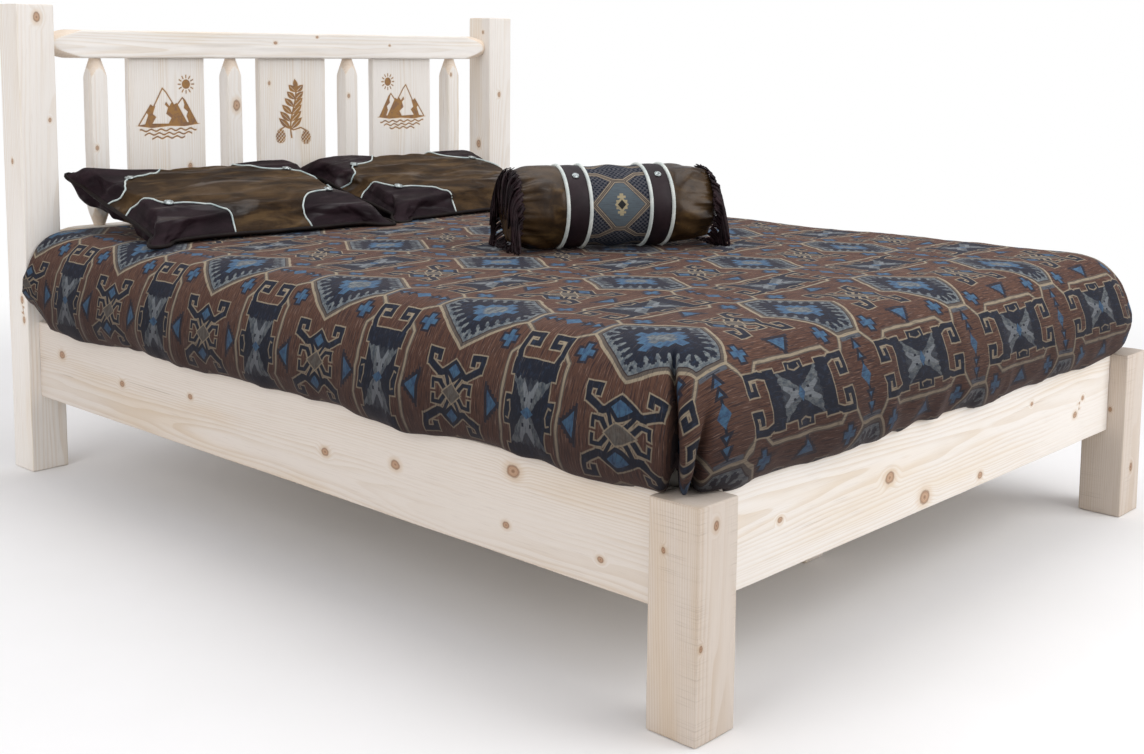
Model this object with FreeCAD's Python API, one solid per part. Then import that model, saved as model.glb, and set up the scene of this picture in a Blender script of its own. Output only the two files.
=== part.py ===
import FreeCAD, Part
import math
import os

# A rustic queen bed of square-sawn pine: a headboard of two posts, two round-tenoned rails,
# four tapered spindles and three plain panels; a low foot; side rails with a slatted platform;
# and its bedding. Millimetres. X is right as seen from the foot, Y runs from foot to head,
# Z is up. The origin is on the floor under the middle of the bed.

# Mattress and how it lies in the frame
mattress_width = 1524.0
mattress_length = 2032.0
mattress_thickness = 250.0
mattress_corner_radius = 65.0
mattress_edge_bevel = 22.0
mattress_side_gap = 10.0
mattress_foot_gap = 15.5
mattress_head_gap = 8.5
platform_depth = 46.0

# Posts
foot_post_size = 100.0
foot_post_height = 381.0
head_post_size = 96.0
head_post_height = 1166.0
post_edge_chamfer = 3.0

# Rails of the frame
side_rail_thickness = 38.0
side_rail_height = 190.5
side_rail_inset = 28.0
foot_rail_thickness = 38.0
foot_rail_height = 181.0
foot_rail_inset = 40.0
rail_edge_chamfer = 3.0
foot_tenon_length = 45.0
foot_tenon_thickness = 19.0
foot_tenon_shoulder = 25.0

# Headboard rails, with ends cut to a cone and a round tenon
head_rail_height = 72.0
head_rail_depth = 56.0
head_rail_chamfer = 3.0
top_rail_underside = 1034.0
lower_rail_underside = 532.0
rail_tenon_radius = 25.5
rail_tenon_length = 50.0
rail_taper_length = 92.0

# Spindles and panels between the headboard rails
spindle_size = 46.0
spindle_tenon_radius = 14.0
spindle_tenon_length = 30.0
spindle_taper_length = 55.0
panel_width = 229.0
panel_thickness = 22.0
panel_groove_depth = 12.0
panel_edge_chamfer = 2.0
member_pitch_share = 0.137
spindle_steps = (-3, -1, 1, 3)
panel_steps = (-2, 0, 2)

# Platform: cleats, slats, centre beam and the legs that it is let into
slat_count = 13
slat_width = 89.0
slat_thickness = 19.0
slat_side_gap = 1.5
slat_end_gap = 6.0
slat_edge_chamfer = 2.0
cleat_width = 38.0
cleat_height = 38.0
cleat_end_gap = 3.0
cleat_edge_chamfer = 3.0
beam_width = 38.0
beam_height = 89.0
leg_size = 64.0
leg_slot_depth = 60.0
leg_foot_chamfer = 4.0
leg_place_shares = (0.17, 0.5, 0.83)

# Steel rail fasteners: a hooked plate in each end of a side rail, a slotted plate in each post
fastener_width = 16.0
fastener_height = 120.0
fastener_thickness = 2.5
hook_pitch = 70.0
hook_thickness = 3.0
hook_neck_height = 14.0
hook_drop = 8.0
hook_reach = 10.0

# Fits
joint_clearance = 0.15
mortise_relief = 2.0
soft_clearance = 0.3
cut_overrun = 20.0

# Comforter: a quilt over the top, both sides and the foot
comforter_thickness = 20.0
comforter_bulge = 12.0
comforter_head_gap = 9.0
comforter_corner_radius = 95.0
comforter_fold_depth = 9.0
comforter_pleat_depth = 20.0
comforter_lining_corner_radius = 60.0
comforter_lining_ease = 3.0
# Each level: height, outward reach and fold depth, as shares of the drop, of the greatest
# reach and of the full fold, from the hem to the top
comforter_level_shares = (
    (0.0, 0.60, 1.0),
    (0.05, 0.93, 1.0),
    (0.20, 1.0, 1.0),
    (0.50, 0.90, 0.7),
    (0.78, 0.60, 0.3),
    (0.93, 0.20, 0.1),
    (1.0, -0.80, 0.04),
)
comforter_lining_shares = ((0.0, 0.40), (0.42, 0.73), (0.80, 0.36))
side_fold_shares = (0.0, 0.16, 0.37, 0.55, 0.78, 1.0)
foot_fold_shares = (0.0, 0.22, 0.46, 0.66, 0.85, 1.0)

# Pillows: knife-edged, leaning back towards the headboard
pillow_width = 690.0
pillow_depth = 500.0
pillow_thickness = 135.0
pillow_edge_thickness = 10.0
pillow_side_draw = 16.0
pillow_width_shares = (-1.0, -0.92, -0.72, -0.35, 0.35, 0.72, 0.92, 1.0)
# The crown of one section: places across half the depth, and the rise there as a share of the full rise
pillow_crown_shares = ((0.2, 1.0), (0.52, 0.84), (0.8, 0.5), (1.0, 0.07))
pillow_tilt_deg = 13.5
pillow_head_gap = 4.0
pillow_side_inset = 12.0
pillow_spacing = 25.0
left_pillow_turn_deg = -3.0
right_pillow_turn_deg = 0.0

# Bolster: a round cushion lying at a slant before the pillows, with a fringe at each end
bolster_length = 490.0
bolster_radius = 97.0
bolster_end_radius = 30.0
bolster_end_shares = (0.0, 0.5, 1.0)
bolster_turn_deg = -28.0
bolster_centre_x = 25.0
bolster_from_foot = 960.0
fringe_length = 30.0
fringe_flare = 24.0

# Heights and places that follow from the sizes above
bed_width = mattress_width + 2 * (mattress_side_gap + side_rail_thickness + side_rail_inset)
head_rail_inset = (head_post_size - head_rail_depth) / 2
bed_length = (foot_rail_inset + foot_rail_thickness + mattress_foot_gap + mattress_length
              + mattress_head_gap + head_post_size - head_rail_inset)
foot_y = -bed_length / 2
head_y = bed_length / 2
post_outer_x = bed_width / 2
foot_post_inner_x = post_outer_x - foot_post_size
head_post_inner_x = post_outer_x - head_post_size
foot_post_back_y = foot_y + foot_post_size
head_post_front_y = head_y - head_post_size
headboard_y = head_y - head_post_size / 2
rail_top = foot_post_height
side_rail_outer_x = post_outer_x - side_rail_inset
side_rail_inner_x = side_rail_outer_x - side_rail_thickness
slat_top = rail_top - platform_depth
slat_underside = slat_top - slat_thickness
cleat_underside = slat_underside - cleat_height
mattress_bottom = slat_top + soft_clearance
mattress_top = mattress_bottom + mattress_thickness
mattress_foot_y = foot_y + foot_rail_inset + foot_rail_thickness + mattress_foot_gap
mattress_head_y = mattress_foot_y + mattress_length
comforter_hem = rail_top + soft_clearance
comforter_lining_top = mattress_top + soft_clearance
comforter_top = comforter_lining_top + comforter_thickness
comforter_head_y = head_post_front_y - comforter_head_gap
comforter_reach = post_outer_x + comforter_bulge - mattress_width / 2
left_pillow_centre_x = pillow_side_inset + (pillow_width - mattress_width) / 2
right_pillow_centre_x = left_pillow_centre_x + pillow_width + pillow_spacing
member_pitch = member_pitch_share * 2 * head_post_inner_x

VERTICAL = FreeCAD.Vector(0, 0, 1)
ALONG_X = FreeCAD.Vector(1, 0, 0)
ALONG_Y = FreeCAD.Vector(0, 1, 0)


def block(x0, x1, y0, y1, z0, z1):
    """A square-edged board between two corners."""
    return Part.makeBox(x1 - x0, y1 - y0, z1 - z0, FreeCAD.Vector(x0, y0, z0))


def eased(board, chamfer, axis):
    """The board with its edges along one axis eased by a small chamfer."""
    edges = []
    for edge in board.Edges:
        direction = edge.tangentAt(edge.FirstParameter)
        if abs(direction.dot(axis)) > math.cos(math.radians(1)):
            edges.append(edge)
    return board.makeChamfer(chamfer, edges)


def mirrored(shape):
    """The same piece on the other side of the bed."""
    return shape.mirror(FreeCAD.Vector(0, 0, 0), ALONG_X)


def rod(radius, length, base, axis):
    return Part.makeCylinder(radius, length, base, axis)


def square_stock(width, depth, length, tenon_length):
    """Square-edged stock about Z that reaches from one tenon's end to the other."""
    return block(-width / 2, width / 2, -depth / 2, depth / 2, -tenon_length, length + tenon_length)


def tenoned_bar(stock, length, taper_length, tenon_radius, tenon_length):
    """The stock with both ends cut by a cone down to a round tenon, length apart at the shoulders.

    The cone leaves the scalloped edge that a tenon cutter leaves on square stock.
    """
    corner_radius = math.hypot(stock.BoundBox.XMax, stock.BoundBox.YMax)
    profile = [
        (0, -tenon_length),
        (tenon_radius, -tenon_length),
        (tenon_radius, 0),
        (corner_radius, taper_length),
        (corner_radius, length - taper_length),
        (tenon_radius, length),
        (tenon_radius, length + tenon_length),
        (0, length + tenon_length),
    ]
    points = [FreeCAD.Vector(radius, 0, height) for radius, height in profile]
    face = Part.Face(Part.makePolygon(points + points[:1]))
    turned = face.revolve(FreeCAD.Vector(0, 0, 0), VERTICAL, 360)
    return stock.common(turned)


def lying_along_x(bar, start_x, y, z):
    """The bar turned from Z to X, with its first shoulder at start_x."""
    turned = bar.copy()
    turned.rotate(FreeCAD.Vector(0, 0, 0), ALONG_Y, 90)
    turned.translate(FreeCAD.Vector(start_x, y, z))
    return turned


def arc_between(start, end, bulge):
    """An arc of under a half circle from start to end that stands out to the right by bulge."""
    chord = end - start
    side = FreeCAD.Vector(chord.y, -chord.x, 0).normalize()
    middle = (start + end) * 0.5 + side * bulge
    return Part.Arc(start, middle, end).toShape()


# Posts
def let_in(face_y, start, stop, width, low, high):
    """A block in the middle of the left side rail's thickness, from start to stop along Y beyond a face."""
    middle = -(side_rail_outer_x + side_rail_inner_x) / 2
    y0, y1 = sorted((face_y + start, face_y + stop))
    return block(middle - width / 2, middle + width / 2, y0, y1, low, high)


def plate_span():
    """The heights between which both plates of a rail fastener lie."""
    middle = rail_top - side_rail_height / 2
    return middle - fastener_height / 2, middle + fastener_height / 2


def hook_seats():
    """The height of each hook's seat, where its neck rests on the slot's lower end."""
    middle = rail_top - side_rail_height / 2
    return middle - (hook_pitch + hook_neck_height) / 2, middle + (hook_pitch - hook_neck_height) / 2


def hooked_plate(face_y, away):
    """The plate flush with a rail's end at face_y, with two hooks that reach into the post.

    away is 1 where the rail lies towards +Y from the post and -1 where it lies towards -Y.
    """
    plate = let_in(face_y, 0, away * fastener_thickness, fastener_width, *plate_span())
    neck = fastener_thickness + joint_clearance
    x0 = plate.BoundBox.Center.x - hook_thickness / 2
    for seat in hook_seats():
        profile = [(0, seat), (0, seat + hook_neck_height), (hook_reach, seat + hook_neck_height),
                   (hook_reach, seat - hook_drop), (neck, seat - hook_drop), (neck, seat)]
        points = [FreeCAD.Vector(x0, face_y - away * reach, height) for reach, height in profile]
        hook = Part.Face(Part.makePolygon(points + points[:1])).extrude(ALONG_X * hook_thickness)
        plate = plate.fuse(hook)
    return plate.removeSplitter()


def slotted_plate(face_y, away):
    """The plate flush with a post's face, with a slot for each hook and room above it to lift out."""
    plate = let_in(face_y, 0, -away * fastener_thickness, fastener_width, *plate_span())
    for seat in hook_seats():
        plate = plate.cut(let_in(face_y, cut_overrun, -cut_overrun, hook_thickness + 2 * joint_clearance,
                                 seat, seat + hook_neck_height + hook_drop + joint_clearance))
    return plate


def cut_for_plates(post, face_y, away):
    """The post with the slotted plate's recess and the pocket that the hooks hang in."""
    recess = let_in(face_y, 0, -away * fastener_thickness, fastener_width, *plate_span())
    low, high = hook_seats()
    pocket = let_in(face_y, 0, -away * (hook_reach + mortise_relief), hook_thickness + 2 * mortise_relief,
                    low - hook_drop - mortise_relief, high + hook_neck_height + hook_drop + mortise_relief)
    return post.cut(recess).cut(pocket)


def foot_post():
    """Left foot post with the foot rail's mortise."""
    post = block(-post_outer_x, -foot_post_inner_x, foot_y, foot_post_back_y, 0, foot_post_height)
    post = eased(post, post_edge_chamfer, VERTICAL)
    tenon_y = foot_y + foot_rail_inset + foot_rail_thickness / 2
    half = foot_tenon_thickness / 2 + joint_clearance
    low = rail_top - foot_rail_height + foot_tenon_shoulder - joint_clearance
    high = rail_top - foot_tenon_shoulder + joint_clearance
    depth = foot_tenon_length + mortise_relief
    mortise = block(-foot_post_inner_x - depth, -foot_post_inner_x, tenon_y - half, tenon_y + half,
                    low, high)
    return cut_for_plates(post.cut(mortise), foot_post_back_y, 1)


def head_rail_axis_heights():
    return [underside + head_rail_height / 2 for underside in (lower_rail_underside, top_rail_underside)]


def head_post():
    """Left head post with a round mortise for each headboard rail."""
    post = block(-post_outer_x, -head_post_inner_x, head_post_front_y, head_y, 0, head_post_height)
    post = eased(post, post_edge_chamfer, VERTICAL)
    depth = rail_tenon_length + mortise_relief
    for height in head_rail_axis_heights():
        start = FreeCAD.Vector(-head_post_inner_x, headboard_y, height)
        post = post.cut(rod(rail_tenon_radius + joint_clearance, depth, start, ALONG_X * -1))
    return cut_for_plates(post, head_post_front_y, -1)


# Headboard
def head_rail(underside):
    """A headboard rail with its round mortises and panel grooves on the side that faces the other rail."""
    length = 2 * head_post_inner_x
    stock = eased(square_stock(head_rail_height, head_rail_depth, length, rail_tenon_length),
                  head_rail_chamfer, VERTICAL)
    bar = tenoned_bar(stock, length, rail_taper_length, rail_tenon_radius, rail_tenon_length)
    rail = lying_along_x(bar, -head_post_inner_x, headboard_y, underside + head_rail_height / 2)
    if underside == top_rail_underside:
        face_z, into = top_rail_underside, 1
    else:
        face_z, into = lower_rail_underside + head_rail_height, -1
    for step in spindle_steps:
        start = FreeCAD.Vector(step * member_pitch, headboard_y, face_z)
        hole = rod(spindle_tenon_radius + joint_clearance, spindle_tenon_length + mortise_relief,
                   start, VERTICAL * into)
        rail = rail.cut(hole)
    for step in panel_steps:
        half_width = panel_width / 2 + joint_clearance
        half_thickness = panel_thickness / 2 + joint_clearance
        depth = panel_groove_depth + joint_clearance
        levels = sorted((face_z, face_z + into * depth))
        groove = block(step * member_pitch - half_width, step * member_pitch + half_width,
                       headboard_y - half_thickness, headboard_y + half_thickness, *levels)
        rail = rail.cut(groove)
    return rail


def spindle(step):
    """A square spindle with both ends tapered to a round tenon."""
    foot = lower_rail_underside + head_rail_height
    length = top_rail_underside - foot
    stock = square_stock(spindle_size, spindle_size, length, spindle_tenon_length)
    bar = tenoned_bar(stock, length, spindle_taper_length, spindle_tenon_radius, spindle_tenon_length)
    bar.translate(FreeCAD.Vector(step * member_pitch, headboard_y, foot))
    return bar


def panel(step):
    """A plain board let into a groove in each rail."""
    low = lower_rail_underside + head_rail_height - panel_groove_depth
    high = top_rail_underside + panel_groove_depth
    middle = step * member_pitch
    board = block(middle - panel_width / 2, middle + panel_width / 2,
                  headboard_y - panel_thickness / 2, headboard_y + panel_thickness / 2, low, high)
    return eased(board, panel_edge_chamfer, VERTICAL)


# Foot and side rails
def foot_rail():
    """The board between the foot posts, with a shouldered tenon at each end."""
    y0 = foot_y + foot_rail_inset
    y1 = y0 + foot_rail_thickness
    z0 = rail_top - foot_rail_height
    board = block(-foot_post_inner_x, foot_post_inner_x, y0, y1, z0, rail_top)
    board = eased(board, rail_edge_chamfer, ALONG_X)
    middle = (y0 + y1) / 2
    reach = foot_post_inner_x + foot_tenon_length
    tenons = block(-reach, reach, middle - foot_tenon_thickness / 2, middle + foot_tenon_thickness / 2,
                   z0 + foot_tenon_shoulder, rail_top - foot_tenon_shoulder)
    return board.fuse(tenons).removeSplitter()


def slat_places():
    """The middle line of each slat along the bed."""
    first = foot_post_back_y + slat_end_gap + slat_width / 2
    last = head_post_front_y - slat_end_gap - slat_width / 2
    step = (last - first) / (slat_count - 1)
    return [first + i * step for i in range(slat_count)]


def side_rail():
    """Left side rail, butted between the foot post and the head post, with a plate let into each end."""
    board = block(-side_rail_outer_x, -side_rail_inner_x, foot_post_back_y, head_post_front_y,
                  rail_top - side_rail_height, rail_top)
    board = eased(board, rail_edge_chamfer, ALONG_Y)
    for face_y, away in ((foot_post_back_y, 1), (head_post_front_y, -1)):
        board = board.cut(let_in(face_y, 0, away * fastener_thickness, fastener_width, *plate_span()))
    return board


def cleat():
    """Left ledger strip that carries the slats' ends."""
    strip = block(-side_rail_inner_x, -side_rail_inner_x + cleat_width, foot_post_back_y + cleat_end_gap,
                  head_post_front_y - cleat_end_gap, cleat_underside, slat_underside)
    lower_inner = [edge for edge in strip.Edges
                   if edge.BoundBox.XMin > -side_rail_inner_x and edge.BoundBox.ZMax < slat_underside]
    return strip.makeChamfer(cleat_edge_chamfer, lower_inner)


def slat(middle_y):
    """One platform board, lying on both cleats and on the centre beam."""
    reach = side_rail_inner_x - slat_side_gap
    board = block(-reach, reach, middle_y - slat_width / 2, middle_y + slat_width / 2,
                  slat_underside, slat_top)
    return eased(board, slat_edge_chamfer, ALONG_X)


def leg_places():
    """The middle line of each centre leg along the bed."""
    return [foot_y + share * bed_length for share in leg_place_shares]


def centre_beam():
    """The board on edge under the middle of the slats."""
    y0 = foot_post_back_y + slat_end_gap
    y1 = head_post_front_y - slat_end_gap
    return block(-beam_width / 2, beam_width / 2, y0, y1, slat_underside - beam_height, slat_underside)


def centre_leg(middle_y):
    """A leg whose slotted top straddles the beam and carries it on the slot's floor."""
    slot_floor = slat_underside - beam_height
    top = slot_floor + leg_slot_depth
    half = leg_size / 2
    leg = block(-half, half, middle_y - half, middle_y + half, 0, top)
    lowest = [edge for edge in leg.Edges if edge.BoundBox.ZMax < leg_foot_chamfer]
    leg = leg.makeChamfer(leg_foot_chamfer, lowest)
    cheek = beam_width / 2 + joint_clearance
    slot = block(-cheek, cheek, middle_y - half - cut_overrun, middle_y + half + cut_overrun,
                 slot_floor, top + cut_overrun)
    return leg.cut(slot)


# Bedding
def mattress():
    """A block mattress with rounded corners and bevelled upper and lower edges."""
    levels = (
        (mattress_bottom, mattress_edge_bevel),
        (mattress_bottom + mattress_edge_bevel, 0),
        (mattress_top - mattress_edge_bevel, 0),
        (mattress_top, mattress_edge_bevel),
    )
    wires = [rounded_outline(mattress_width / 2 - draw, mattress_foot_y + draw, mattress_head_y - draw,
                             mattress_corner_radius - draw, height)
             for height, draw in levels]
    return Part.makeLoft(wires, True, True)


def rounded_outline(half_width, y0, y1, radius, height):
    """A rectangle with rounded corners at a height, of four lines and four quarter arcs."""
    turn = radius * math.cos(math.radians(45))
    corners = ((-half_width, y0, 1, 1), (half_width, y0, -1, 1),
               (half_width, y1, -1, -1), (-half_width, y1, 1, -1))
    arcs = []
    for index, (x, y, in_x, in_y) in enumerate(corners):
        centre = FreeCAD.Vector(x + in_x * radius, y + in_y * radius, height)
        on_side = FreeCAD.Vector(x, centre.y, height)
        on_end = FreeCAD.Vector(centre.x, y, height)
        middle = centre - FreeCAD.Vector(in_x * turn, in_y * turn, 0)
        first, last = (on_side, on_end) if index % 2 == 0 else (on_end, on_side)
        arcs.append((first, middle, last))
    edges = []
    for index, (first, middle, last) in enumerate(arcs):
        edges.append(Part.Arc(first, middle, last).toShape())
        edges.append(Part.makeLine(last, arcs[(index + 1) % len(arcs)][0]))
    return Part.Wire(edges)


def comforter_outline(height, reach, fold):
    """The quilt's outline at one height: scalloped sides and foot, with a pleat at each foot corner."""
    half_width = mattress_width / 2 + reach
    foot_edge = mattress_foot_y - reach
    radius = comforter_corner_radius
    depth = comforter_fold_depth * fold
    side_length = comforter_head_y - (foot_edge + radius)
    side_points = [FreeCAD.Vector(depth - half_width, comforter_head_y - share * side_length, height)
                   for share in side_fold_shares]
    foot_length = 2 * (half_width - radius)
    foot_points = [FreeCAD.Vector(radius - half_width + share * foot_length, foot_edge + depth, height)
                   for share in foot_fold_shares]
    centre = FreeCAD.Vector(radius - half_width, foot_edge + radius, height)
    pleat_reach = (radius - comforter_pleat_depth * fold) * math.cos(math.radians(45))
    pleat = centre - FreeCAD.Vector(pleat_reach, pleat_reach, 0)
    corner_bulge = radius * (1 - math.cos(math.radians(22.5)))
    left = [(start, end, depth) for start, end in zip(side_points, side_points[1:])]
    left.append((side_points[-1], pleat, corner_bulge))
    left.append((pleat, foot_points[0], corner_bulge))
    foot = [(start, end, depth) for start, end in zip(foot_points, foot_points[1:])]
    right = [(flipped(end), flipped(start), bulge) for start, end, bulge in reversed(left)]
    edges = [arc_between(*arc) for arc in left + foot + right]
    edges.append(Part.makeLine(flipped(side_points[0]), side_points[0]))
    return Part.Wire(edges)


def flipped(point):
    return FreeCAD.Vector(-point.x, point.y, point.z)


def comforter():
    """The quilt: an outer loft through scalloped outlines, hollowed by its plain lining."""
    drop = comforter_top - comforter_hem
    wires = [comforter_outline(comforter_hem + share * drop, reach * comforter_reach, fold)
             for share, reach, fold in comforter_level_shares]
    outer = Part.makeLoft(wires, True, True)
    lining_drop = comforter_lining_top - comforter_hem
    levels = [(comforter_hem + share * lining_drop, reach * comforter_reach)
              for share, reach in comforter_lining_shares]
    levels.append((comforter_lining_top, comforter_lining_ease))
    past_head = comforter_head_y + comforter_lining_corner_radius + cut_overrun
    lining_wires = [rounded_outline(mattress_width / 2 + reach, mattress_foot_y - reach, past_head,
                                    comforter_lining_corner_radius + reach, height)
                    for height, reach in levels]
    return outer.cut(Part.makeLoft(lining_wires, True, True))


def pillow_section(x, reach, rise):
    """One upright section of a pillow: a closed outline that swells between two knife edges."""
    back = [FreeCAD.Vector(x, reach * along, rise * height) for along, height in pillow_crown_shares]
    front = [FreeCAD.Vector(x, -point.y, point.z) for point in reversed(back)]
    upper = front + back
    lower = [FreeCAD.Vector(x, point.y, -point.z) for point in reversed(upper)]
    return Part.makePolygon(upper + lower + upper[:1])


def pillow(centre_x, turn_deg):
    """A knife-edged pillow: crowned sections across its width, thickest in the middle.

    Its edges draw in between the corners. It leans back with its front edge on the quilt and
    its back edge towards the spindles.
    """
    wires = []
    for share in pillow_width_shares:
        swell = math.cos(share * math.pi / 2)
        rise = (pillow_edge_thickness + (pillow_thickness - pillow_edge_thickness) * math.sqrt(swell)) / 2
        reach = pillow_depth / 2 - pillow_side_draw * swell
        wires.append(pillow_section(share * pillow_width / 2, reach, rise))
    cushion = Part.makeLoft(wires, True, True)
    cushion.rotate(FreeCAD.Vector(0, 0, 0), ALONG_X, pillow_tilt_deg)
    cushion.rotate(FreeCAD.Vector(0, 0, 0), VERTICAL, turn_deg)
    box = cushion.optimalBoundingBox()
    head_limit = headboard_y - head_rail_depth / 2 - pillow_head_gap
    lift = comforter_top + soft_clearance - box.ZMin
    cushion.translate(FreeCAD.Vector(centre_x, head_limit - box.YMax, lift))
    return cushion


def bolster():
    """A round cushion with rounded ends."""
    half = bolster_length / 2
    right = []
    for share in bolster_end_shares:
        angle = math.radians(share * 90)
        right.append((half - bolster_end_radius * (1 - math.sin(angle)),
                      bolster_radius - bolster_end_radius * (1 - math.cos(angle))))
    right.append((half, 0))
    profile = [(-along, radius) for along, radius in reversed(right)] + right
    points = [FreeCAD.Vector(along, 0, radius) for along, radius in profile]
    face = Part.Face(Part.makePolygon(points + points[:1]))
    return on_quilt(face.revolve(FreeCAD.Vector(0, 0, 0), ALONG_X, 360))


def fringe(side):
    """The bunch of leather strips that flares from one end of the bolster."""
    rim_radius = bolster_radius - bolster_end_radius
    start = side * (bolster_length / 2 + soft_clearance)
    return on_quilt(Part.makeCone(rim_radius, rim_radius + fringe_flare, fringe_length,
                                  FreeCAD.Vector(start, 0, 0), ALONG_X * side))


def on_quilt(shape):
    """A bolster piece, made along X about the origin, laid on the quilt at its slant."""
    laid = shape.copy()
    laid.rotate(FreeCAD.Vector(0, 0, 0), VERTICAL, bolster_turn_deg)
    lift = comforter_top + soft_clearance + bolster_radius
    laid.translate(FreeCAD.Vector(bolster_centre_x, foot_y + bolster_from_foot, lift))
    return laid


def both_sides(shape):
    return [shape, mirrored(shape)]


def as_group(solids):
    return Part.makeCompound(solids)


def nodes():
    """Every piece by its name."""
    made = {}
    made["head_post_left"], made["head_post_right"] = both_sides(head_post())
    made["head_top_rail"] = head_rail(top_rail_underside)
    made["head_lower_rail"] = head_rail(lower_rail_underside)
    for number, step in enumerate(spindle_steps, 1):
        made["spindle_%d" % number] = spindle(step)
    for name, step in zip(("left", "centre", "right"), panel_steps):
        made["panel_" + name] = panel(step)
    made["foot_post_left"], made["foot_post_right"] = both_sides(foot_post())
    made["foot_rail"] = foot_rail()
    made["side_rail_left"], made["side_rail_right"] = both_sides(side_rail())
    made["cleat_left"], made["cleat_right"] = both_sides(cleat())
    for number, middle_y in enumerate(slat_places(), 1):
        made["slat_%02d" % number] = slat(middle_y)
    made["centre_beam"] = centre_beam()
    for name, middle_y in zip(("foot", "middle", "head"), leg_places()):
        made["centre_leg_" + name] = centre_leg(middle_y)
    for name, face_y, away in (("foot", foot_post_back_y, 1), ("head", head_post_front_y, -1)):
        plates = {"hooked": hooked_plate(face_y, away), "slotted": slotted_plate(face_y, away)}
        for kind, plate in plates.items():
            for side, piece in zip(("left", "right"), both_sides(plate)):
                made["%s_plate_%s_%s" % (kind, name, side)] = piece
    made["mattress"] = mattress()
    made["comforter"] = comforter()
    made["pillow_left"] = pillow(left_pillow_centre_x, left_pillow_turn_deg)
    made["pillow_right"] = pillow(right_pillow_centre_x, right_pillow_turn_deg)
    made["bolster"] = bolster()
    made["bolster_fringes"] = as_group([fringe(-1), fringe(1)])
    return made


def main():
    os.makedirs("parts", exist_ok=True)
    for name, shape in nodes().items():
        shape.exportStep("parts/" + name + ".step")
        print("%-22s solids %2d  valid %s  volume %.0f cm3"
              % (name, len(shape.Solids), shape.isValid(), shape.Volume / 1000))


main()
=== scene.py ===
"""A rustic bed of whitewashed pine with its bedding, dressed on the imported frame.

Lengths are metres, in the frame's own place: X right as seen from the foot, Y from foot to
head, Z up.
"""
import math

import bpy
import numpy as np
from bpy.props import FloatProperty, FloatVectorProperty, IntProperty, PointerProperty
from mathutils import Matrix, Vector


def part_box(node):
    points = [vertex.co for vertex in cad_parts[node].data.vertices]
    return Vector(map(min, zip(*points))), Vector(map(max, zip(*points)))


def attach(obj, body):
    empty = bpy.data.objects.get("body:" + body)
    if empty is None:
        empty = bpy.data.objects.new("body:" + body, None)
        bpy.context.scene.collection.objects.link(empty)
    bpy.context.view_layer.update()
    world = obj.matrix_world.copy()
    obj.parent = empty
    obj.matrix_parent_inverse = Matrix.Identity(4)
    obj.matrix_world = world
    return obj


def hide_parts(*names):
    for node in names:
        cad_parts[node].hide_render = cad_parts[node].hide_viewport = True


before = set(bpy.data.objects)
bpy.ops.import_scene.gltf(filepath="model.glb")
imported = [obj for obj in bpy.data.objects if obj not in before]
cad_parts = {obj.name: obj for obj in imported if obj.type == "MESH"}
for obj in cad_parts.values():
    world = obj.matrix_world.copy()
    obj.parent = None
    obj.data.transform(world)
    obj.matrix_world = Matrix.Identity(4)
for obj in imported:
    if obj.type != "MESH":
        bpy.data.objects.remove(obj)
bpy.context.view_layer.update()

bl_info = {
    "name": "Rustic pine bed",
    "version": (1, 0, 0),
    "blender": (4, 5, 0),
    "location": "3D View > Sidebar > Bed",
    "description": "Dresses the packed bed in washed pine and makes its bedding",
    "category": "Add Mesh",
}


def dye(red, green, blue):
    """A colour as a picture shows it, each part from 0 to 255, in the linear numbers of a shader."""
    return tuple(((part / 255 + 0.055) / 1.055) ** 2.4 for part in (red, green, blue)) + (1.0,)


def colour_choice(name, description, *parts):
    """A colour that the panel lets one change, given as dye takes it."""
    return FloatVectorProperty(name=name, description=description, subtype="COLOR", size=4,
                               min=0.0, max=1.0, default=dye(*parts))


def length_choice(name, description, default):
    """A length that the panel lets one change."""
    return FloatProperty(name=name, description=description, default=default, unit="LENGTH", precision=4)


class BedTimber(bpy.types.PropertyGroup):
    """Colours and wear of the pine."""

    wash: colour_choice("Wash", "Whitewashed early wood", 246, 241, 234)
    late: colour_choice("Late wood", "Darker side of each ring", 222, 205, 182)
    warm: colour_choice("Warm patch", "Places where the wash is thin", 239, 224, 202)
    halo: colour_choice("Knot halo", "Wood that bends round a knot", 220, 194, 162)
    knot: colour_choice("Knot", "Middle of a knot", 178, 134, 102)
    rim: colour_choice("Knot rim", "Dark bark line round a knot", 122, 86, 62)
    cut: colour_choice("Cone cut", "Wood bared by the tenon cutter", 222, 196, 166)
    burn: colour_choice("Burnt line", "Bottom of the engraved lines", 158, 112, 50)
    ring_width: length_choice("Ring width", "Distance from one ring to the next", 0.0042)
    arris: length_choice("Edge radius", "How far the edges are worn round", 0.0042)
    unevenness: length_choice("Unevenness", "How far a sawn face wanders", 0.0006)


class BedQuilt(bpy.types.PropertyGroup):
    """Colours of the woven quilt and the size of its pattern."""

    ground: colour_choice("Ground", "Rust ground of the weave", 86, 58, 46)
    ground_dark: colour_choice("Dark ground", "Brown thread in the ground", 46, 32, 32)
    navy: colour_choice("Navy", "Dark blue figures", 21, 28, 42)
    blue: colour_choice("Blue", "Light blue stars and diamonds", 68, 104, 132)
    grey: colour_choice("Grey", "Grey blue bodies of the figures", 86, 94, 102)
    line: colour_choice("Line", "Cream outlines and lattice", 156, 143, 121)
    repeat: length_choice("Repeat", "Distance from one medallion to the next", 0.385)
    point_pitch: length_choice("Point pitch", "Distance between the quilt's points", 0.0072)
    wrinkle: length_choice("Wrinkle", "Height of the soft wrinkles", 0.0028)


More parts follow.
